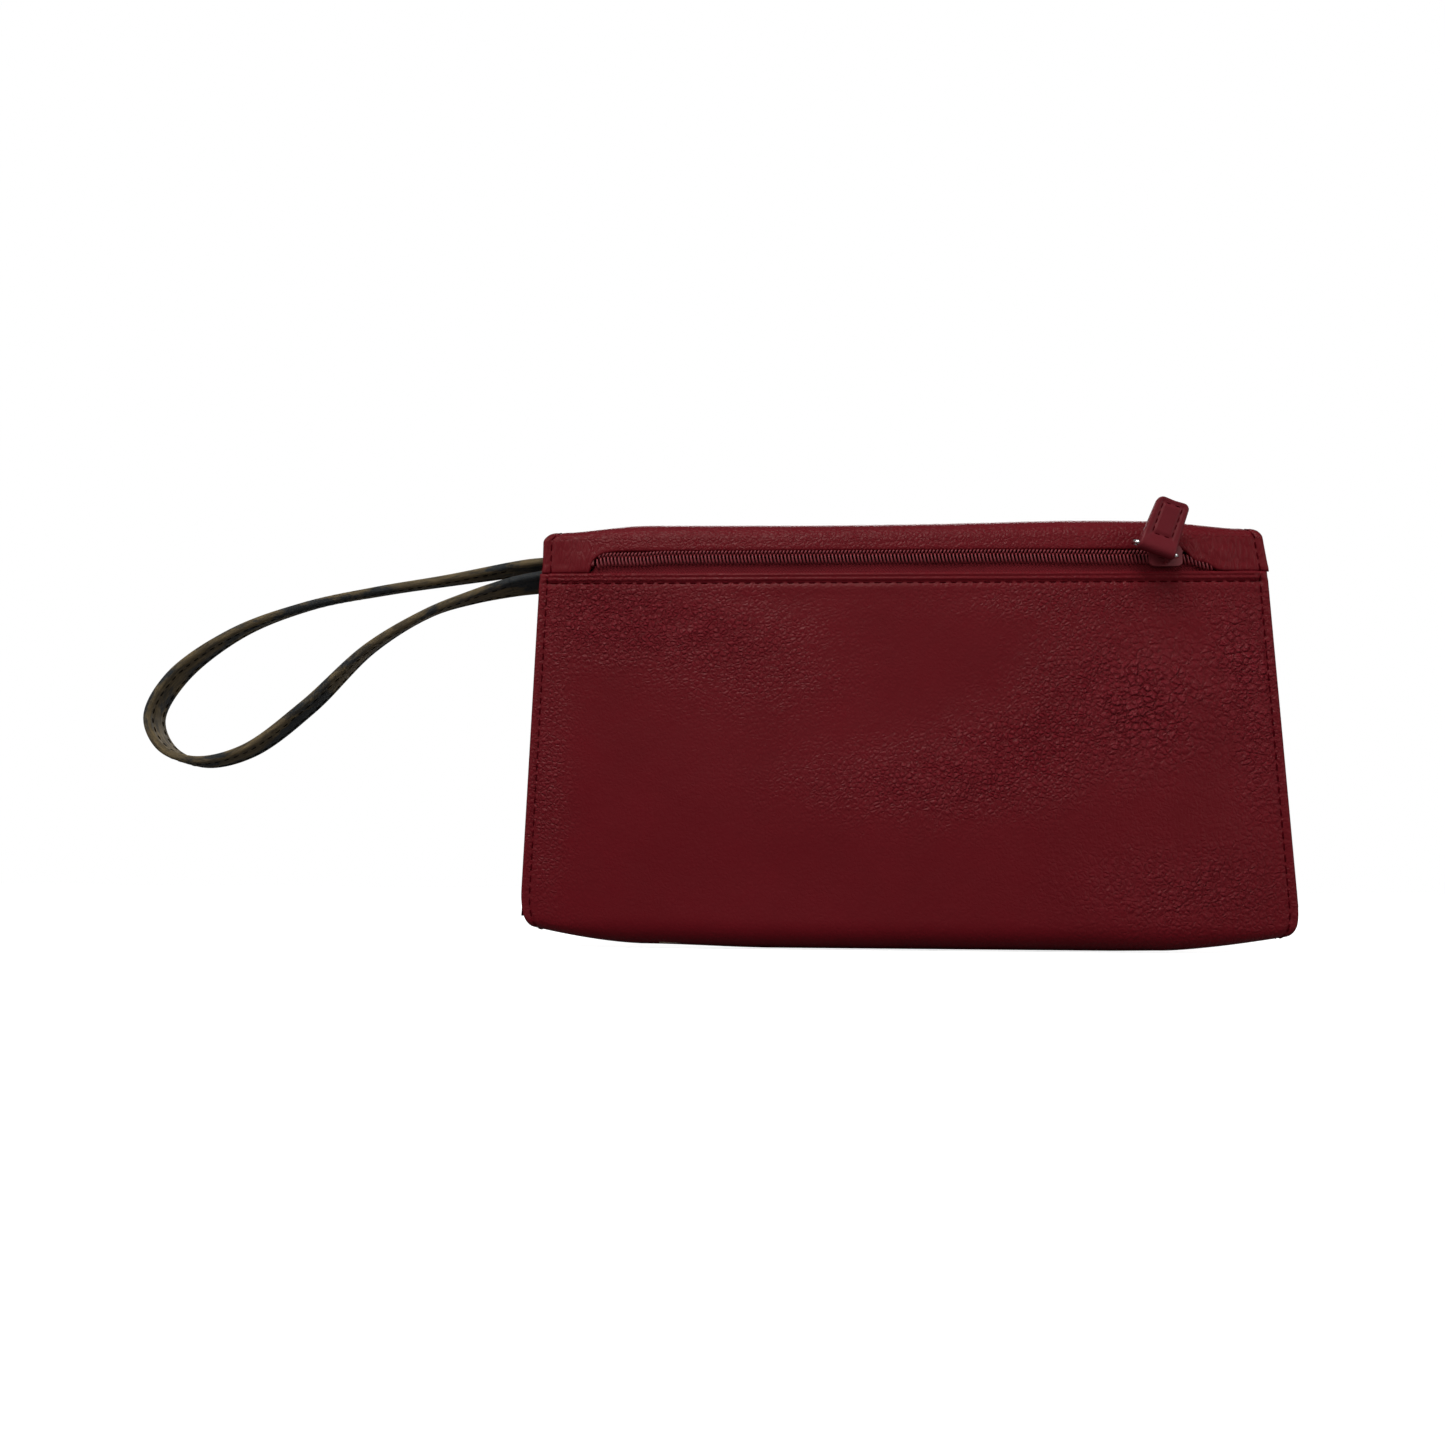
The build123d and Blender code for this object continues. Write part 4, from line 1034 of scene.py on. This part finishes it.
def build_tab():
    """Leather tab folded round the link's wire and sewn to itself in a narrow rectangle."""
    joint = JOINTS["tab_swing"]
    x_axis, _, z_axis = joint["axis"]
    place = np.array([joint["axis"], (0, 1, 0), (-z_axis, 0, x_axis)])
    origin = joint_mm("tab_swing")
    seam_half, seam_start, seam_end = TAB_SEAM

    def tab(q, s):
        """q runs from the back layer's end, down, round the wire and up to the front layer's end."""
        q, s = spread(q, s)
        angle = np.clip(q / TAB_TURN, -0.5, 0.5) * pi
        above = np.clip(np.abs(q) - TAB_TURN / 2, 0, None)
        z = np.where(above > 0, above, -TAB_LOOP * np.cos(angle))
        half = TAB_HALF - TAB_TAPER * np.clip(z / TAB_LONG, 0, 1) - quarter_round(TAB_LONG - z, 1.6)
        x = s * half
        blade = 1.2 + (TAB_LOOP - 1.2) * (1 - smooth(above / 4.0))
        y = np.where(above > 0, -np.sign(q) * blade, -TAB_LOOP * np.sin(angle))
        edge = half - np.abs(x)
        seam_z = np.abs(z - (seam_start + seam_end) / 2) - (seam_end - seam_start) / 2
        ring = np.maximum(np.abs(x) - seam_half, seam_z)
        groove = 0.26 * hill(ring / 0.32) - 0.12 * smooth(-ring / 0.8)
        puff = 0.10 * hill((edge - 1.0) / 0.6)
        y = y + np.sign(q) * (groove - puff) * smooth(above / 2.0)
        y = y - 0.5 * (np.clip(z, 0, None) / TAB_LONG) ** 2
        return np.stack([x, y, z], axis=-1), 0.0

    bend, end = TAB_TURN / 2, TAB_TURN / 2 + TAB_LONG
    rows = ladder((-end, -bend, 0.45), (-bend, bend, 0.32), (bend, end, 0.45))
    extra = np.array([0.06, 0.15, 0.3])
    rows = np.unique(np.concatenate([rows, rows[0] + extra, rows[-1] - extra]))
    edge = np.array([0, 0.06, 0.15, 0.3, 0.55, 0.9]) - TAB_HALF
    s = np.concatenate([edge, np.linspace(-4.4, 4.4, 33), -edge[::-1]]) / TAB_HALF
    points, _ = tab(rows[:, None], -s[None, :])
    angle = np.clip(rows / TAB_TURN, -0.5, 0.5) * pi
    outward = np.stack([0 * angle, -np.sin(angle), -np.cos(angle)], axis=-1) @ place
    outward = np.repeat(outward[:, None, :], len(s), axis=1)
    uv = flat_uv(points, rows)
    piece = sheet("pull_tab_leather", points @ place + origin, 1.12, RED_TAB, uv, outward)
    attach(piece, "tab")
    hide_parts("pull_tab")

    def sewn(q, s):
        """The tab's surface in the frame's axes, turned outwards for its stitches."""
        points, weight = tab(q, -s)
        return points @ place + origin, weight

    rows = []
    for sign in (-1, 1):
        along = np.linspace(bend + seam_start, bend + seam_end, 40)
        half = TAB_HALF - TAB_TAPER * (along - bend) / TAB_LONG
        for x in (-seam_half, seam_half):
            rows.append(stitch_line(sewn, along * sign, x / half, pitch=2.5, radius=0.16))
        for k in (0, -1):
            level_s = np.linspace(0.1 - seam_half, seam_half - 0.1, 30) / half[k]
            rows.append(stitch_line(sewn, along[k] * sign, level_s, pitch=2.3, radius=0.16))
    stitches("pull_tab_seam", rows, SHADED_THREAD_RED, body="tab")


# Strap
NECK_X = -122.5  # where the sewn ends meet the free loop
NECK_BEND = 22.0  # length over which the loop bends at its joint
TAIL_X, TAIL_BEND = -115.5, 6.0  # where the sewn ends begin to bend at theirs, and over what length
STRAP_THICK = 2.4
STRAP_WIDE = 10.0
STRAP_POINTS = (  # x, z and tilt in degrees, from the seam out along the top and back underneath
    (-108.0, 119.2, 8),
    (-116.0, 118.8, 6),
    (-122.5, 117.9, 4),
    (-142.5, 114.6, -6),
    (-165.6, 111.0, -10),
    (-188.8, 106.2, -13),
    (-211.7, 97.2, -7),
    (-230.3, 82.6, 5),
    (-236.3, 69.8, 4),
    (-231.5, 60.2, 1),
    (-220.6, 56.0, -4),
    (-205.4, 59.5, -4),
    (-187.0, 73.5, -3),
    (-168.0, 92.4, 8),
    (-149.8, 103.8, 12),
    (-136.0, 108.8, 2),
    (-122.5, 112.3, -14),
    (-116.0, 113.4, -20),
    (-108.0, 114.4, -24),
)


def spline(knots, count):
    """Points along a centripetal Catmull-Rom curve through the knots, evenly spaced."""
    knots = np.asarray(knots, float)
    padded = np.concatenate([[2 * knots[0] - knots[1]], knots, [2 * knots[-1] - knots[-2]]])
    out = []
    for i in range(1, len(padded) - 2):
        near = padded[i - 1 : i + 3]
        steps = np.linalg.norm(np.diff(near[:, :2], axis=0), axis=1) ** 0.5
        times = np.append(0, np.cumsum(steps))
        t = np.linspace(times[1], times[2], 60, endpoint=False)[:, None]

        def part(a, b, i, j):
            return a + (b - a) * (t - times[i]) / (times[j] - times[i])

        firsts = [part(near[k], near[k + 1], k, k + 1) for k in range(3)]
        seconds = [part(firsts[k], firsts[k + 1], k, k + 2) for k in range(2)]
        out.append(part(*seconds, 1, 2))
    curve = np.concatenate(out + [padded[-2:-1]])
    run = distance_along(curve[:, :2])
    at = np.linspace(0, run[-1], count)
    return np.stack([np.interp(at, run, curve[:, k]) for k in range(curve.shape[1])], axis=1), at


def strap_section(count=44):
    """Rounded-rectangle section as (across, through) pairs and the distance round it."""
    half_w, half_t, corner = STRAP_WIDE / 2, STRAP_THICK / 2, 1.0
    angle = np.linspace(0, 2 * pi, count, endpoint=False)
    dense = np.linspace(0, 2 * pi, 1440, endpoint=False)
    cx = np.sign(np.cos(dense)) * (half_w - corner) + corner * np.cos(dense)
    cy = np.sign(np.sin(dense)) * (half_t - corner) + corner * np.sin(dense)
    closed = np.stack([np.append(cx, cx[0]), np.append(cy, cy[0])], axis=1)
    run = distance_along(closed)
    at = angle / (2 * pi) * run[-1]
    section = np.stack([np.interp(at, run, closed[:, k]) for k in (0, 1)], axis=1)
    inset = half_w - np.abs(section[:, 0])
    groove = 0.14 * hill((inset - 2.2) / 0.35)
    swell = 0.10 * smooth((inset - 2.6) / 1.5)
    section[:, 1] += np.sign(section[:, 1]) * (swell - groove)
    return section, at


def build_strap():
    """The strap as one folded and sewn band, made in two pieces that meet on the neck."""
    curve, run = spline(STRAP_POINTS, 520)
    x, z = curve[:, 0], curve[:, 1]
    dx, dz = np.gradient(x, run), np.gradient(z, run)
    size = np.hypot(dx, dz)
    tangent = np.stack([dx / size, 0 * x, dz / size], axis=1)
    flat_normal = np.stack([-tangent[:, 2], 0 * x, tangent[:, 0]], axis=1)
    centre = np.stack([x, 0 * x, z], axis=1)
    tilt = np.radians(curve[:, 2])[:, None]
    y_axis = np.array([[0.0, 1.0, 0.0]])
    width_axis = np.cos(tilt) * y_axis + np.sin(tilt) * flat_normal
    normal = np.cross(width_axis, tangent)
    section, around = strap_section()
    rings = (
        centre[:, None, :]
        + section[None, :, 0, None] * width_axis[:, None, :]
        + section[None, :, 1, None] * normal[:, None, :]
    )
    free = np.flatnonzero(x < NECK_X)
    first, last = free[0], free[-1]
    sides = len(section)

    def band(rows):
        points = rings[rows].reshape(-1, 3)
        faces = tube_faces(len(rows), sides, False)
        uv = np.stack(spread(around[None, :], run[rows][:, None]), axis=-1).reshape(-1, 2)
        return points, faces, uv

    points, faces, uv = band(np.arange(first, last + 1))
    piece = make_piece("strap_loop_band", points, faces, PRINT, uv)
    blend_by(piece, "strap_root", "strap_loop", smooth((NECK_X - points[:, 0]) / NECK_BEND))
    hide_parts("strap_cover", "strap_core")

    top, top_faces, top_uv = band(np.arange(0, first + 1))
    under, under_faces, under_uv = band(np.arange(last, len(x)))
    points, uv = np.concatenate([top, under]), np.concatenate([top_uv, under_uv])
    faces = top_faces + [[v + len(top) for v in face] for face in under_faces]
    piece = make_piece("strap_sewn_ends", points, faces, PRINT, uv)
    blend_by(piece, "body", "strap_root", smooth((TAIL_X - points[:, 0]) / TAIL_BEND))
    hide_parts("strap_tail", "strap_neck")

    def face_of(sign):
        """Strap face as a surface: q is the distance along, s the place across the width."""

        def surface(q, s):
            q, s = spread(q, s)
            base, wide, out = (
                np.stack([np.interp(q, run, values[:, k]) for k in range(3)], axis=-1)
                for values in (centre, width_axis, normal)
            )
            point = base + wide * (s * STRAP_WIDE / 2)[..., None] + out * sign * (STRAP_THICK / 2 - 0.1)
            return point, smooth((NECK_X - point[..., 0]) / NECK_BEND)

        return surface

    q = np.linspace(run[first] + 1, run[last] - 1, 900)
    rows = []
    for sign in (-1, 1):
        for s in (-0.56, 0.56):
            turned = face_of(sign) if sign < 0 else flipped(face_of(sign))
            rows.append(stitch_line(turned, q, s, pitch=3.0, length=0.62, radius=0.17))
    stitches("strap_loop_seam", rows, STRAP_THREAD, blend=("strap_root", "strap_loop"))


# Finishes of the CAD nodes that are shown as they are
FINISHES = (
    (ENAMEL, ("zip_slider", "zip_bottom_stop", "zip_top_stops")),
    (CHROME, ("pull_link",)),
    (NICKEL, ("snap_socket", "snap_socket_plate", "snap_stud", "snap_stud_plate")),
    (FERRITE, ("snap_magnet",)),
    (BOARD, ("base_board", "front_stiffener", "flap_stiffener")),
    (LINING_SOLID, ("zip_pocket_bag",)),
)


def finish_cad_nodes():
    """Materials for the metal, board and hidden cloth pieces, and softer edges on the metal that shows."""
    for material, nodes in FINISHES:
        for node in nodes:
            piece = frame["nodes"][node]
            piece.data.materials.clear()
            piece.data.materials.append(material)
    for node in ("zip_slider", "zip_bottom_stop", "zip_top_stops", "snap_socket", "snap_stud"):
        bevel = frame["nodes"][node].modifiers.new("soft_edges", "BEVEL")
        bevel.width = 0.18 * MM
        bevel.segments = 2
        bevel.limit_method = "ANGLE"
        bevel.angle_limit = radians(40)


# Stage


FLOOR_HALF = 40.0  # in metres, like the other lengths of the stage
LIGHTS = (  # offset from the middle, width, power, whether it is reflected
    ("key", (-0.15, -0.70, 0.95), 0.6, 10.5, True),
    ("fill", (0.0, -1.3, 0.15), 1.0, 3.5, False),
    ("left", (-1.0, -0.6, 0.45), 0.7, 2.6, True),
    ("right", (1.0, -0.7, 0.35), 0.7, 2.8, True),
    ("back", (0.2, 1.2, 0.5), 0.9, 13.0, True),
)
CAMERA_PLACE = -0.0393, -0.3703, 0.0173
CAMERA_TURN = -2.52, 7.91, 0.42  # yaw, pitch and roll in degrees
CAMERA_HALF_ANGLE = 31  # half of the view's width in degrees


def build_floor():
    """Pale floor that is bright to the camera and dim to everything else."""
    mesh = bpy.data.meshes.new("floor")
    corners = [(x * FLOOR_HALF, y * FLOOR_HALF, 0) for x, y in ((-1, -1), (1, -1), (1, 1), (-1, 1))]
    mesh.from_pydata(corners, [], [(0, 1, 2, 3)])
    floor = bpy.data.objects.new("floor", mesh)
    floor.location.z = cad_low.z - 0.0003
    bpy.context.scene.collection.objects.link(floor)
    paint = Paint("floor_paper", False)
    tone = paint.remap(paint.noise(0.02, 2.0), 0.3, 0.7)
    far = paint.add("ShaderNodeVectorMath", {0: paint.place}, operation="LENGTH").outputs["Value"]
    seen = paint.finish(
        Base_Color=paint.mix(tone, rgb(0.55, 0.55, 0.55), rgb(0.57, 0.57, 0.57)),
        Roughness=0.9,
        Specular_IOR_Level=0.05,
        Emission_Color=rgb(1.0, 1.0, 1.0),
        Emission_Strength=paint.remap(far, 300.0, 1500.0, 0.74, 0.97),
    )
    dim = paint.add("ShaderNodeBsdfDiffuse", {"Color": rgb(0.16, 0.16, 0.16)})
    ray = paint.add("ShaderNodeLightPath").outputs["Is Camera Ray"]
    shown = paint.add("ShaderNodeMixShader", {0: ray, 1: dim.outputs[0], 2: paint.shader.outputs[0]})
    paint.tree.links.new(shown.outputs[0], paint.tree.nodes["Material Output"].inputs["Surface"])
    mesh.materials.append(seen)


def build_stage():
    """Soft studio light and the camera."""
    world = bpy.data.worlds.new("studio")
    bpy.context.scene.world = world
    world.use_nodes = True
    nodes, links = world.node_tree.nodes, world.node_tree.links
    background = nodes["Background"]
    background.inputs["Color"].default_value = rgb(1.0, 1.0, 1.0)
    path = nodes.new("ShaderNodeLightPath")
    strength = nodes.new("ShaderNodeMapRange")
    strength.inputs["To Min"].default_value = 0.14
    strength.inputs["To Max"].default_value = 1.0
    links.new(path.outputs["Is Camera Ray"], strength.inputs["Value"])
    links.new(strength.outputs["Result"], background.inputs["Strength"])

    middle = (cad_low + cad_high) / 2
    for name, offset, width, power, gloss in LIGHTS:
        data = bpy.data.lights.new(name, "AREA")
        data.size = width
        data.energy = power
        light = bpy.data.objects.new(name, data)
        light.visible_glossy = gloss
        light.location = middle + Vector(offset)
        light.rotation_mode = "QUATERNION"
        light.rotation_quaternion = (-Vector(offset)).to_track_quat("-Z", "Y")
        bpy.context.scene.collection.objects.link(light)

    yaw, pitch, roll = (radians(angle) for angle in CAMERA_TURN)
    forward = Vector((sin(yaw) * cos(pitch), cos(yaw) * cos(pitch), sin(pitch)))
    right = Vector((cos(yaw), -sin(yaw), 0))
    up = right.cross(forward)
    right, up = right * cos(roll) + up * sin(roll), up * cos(roll) - right * sin(roll)
    data = bpy.data.cameras.new("camera")
    data.lens = data.sensor_width / 2 / tan(radians(CAMERA_HALF_ANGLE))
    data.clip_start = 0.01
    camera = bpy.data.objects.new("camera", data)
    turn = Matrix((right, up, -forward)).transposed().to_4x4()
    camera.matrix_world = Matrix.Translation(CAMERA_PLACE) @ turn
    bpy.context.scene.collection.objects.link(camera)
    bpy.context.scene.camera = camera
    bpy.context.scene.view_settings.view_transform = "Standard"


build_shell()
build_skin()
build_flap_lining()
build_gussets()
build_inner()
build_zip()
build_tab()
build_strap()
finish_cad_nodes()
build_floor()
build_stage()
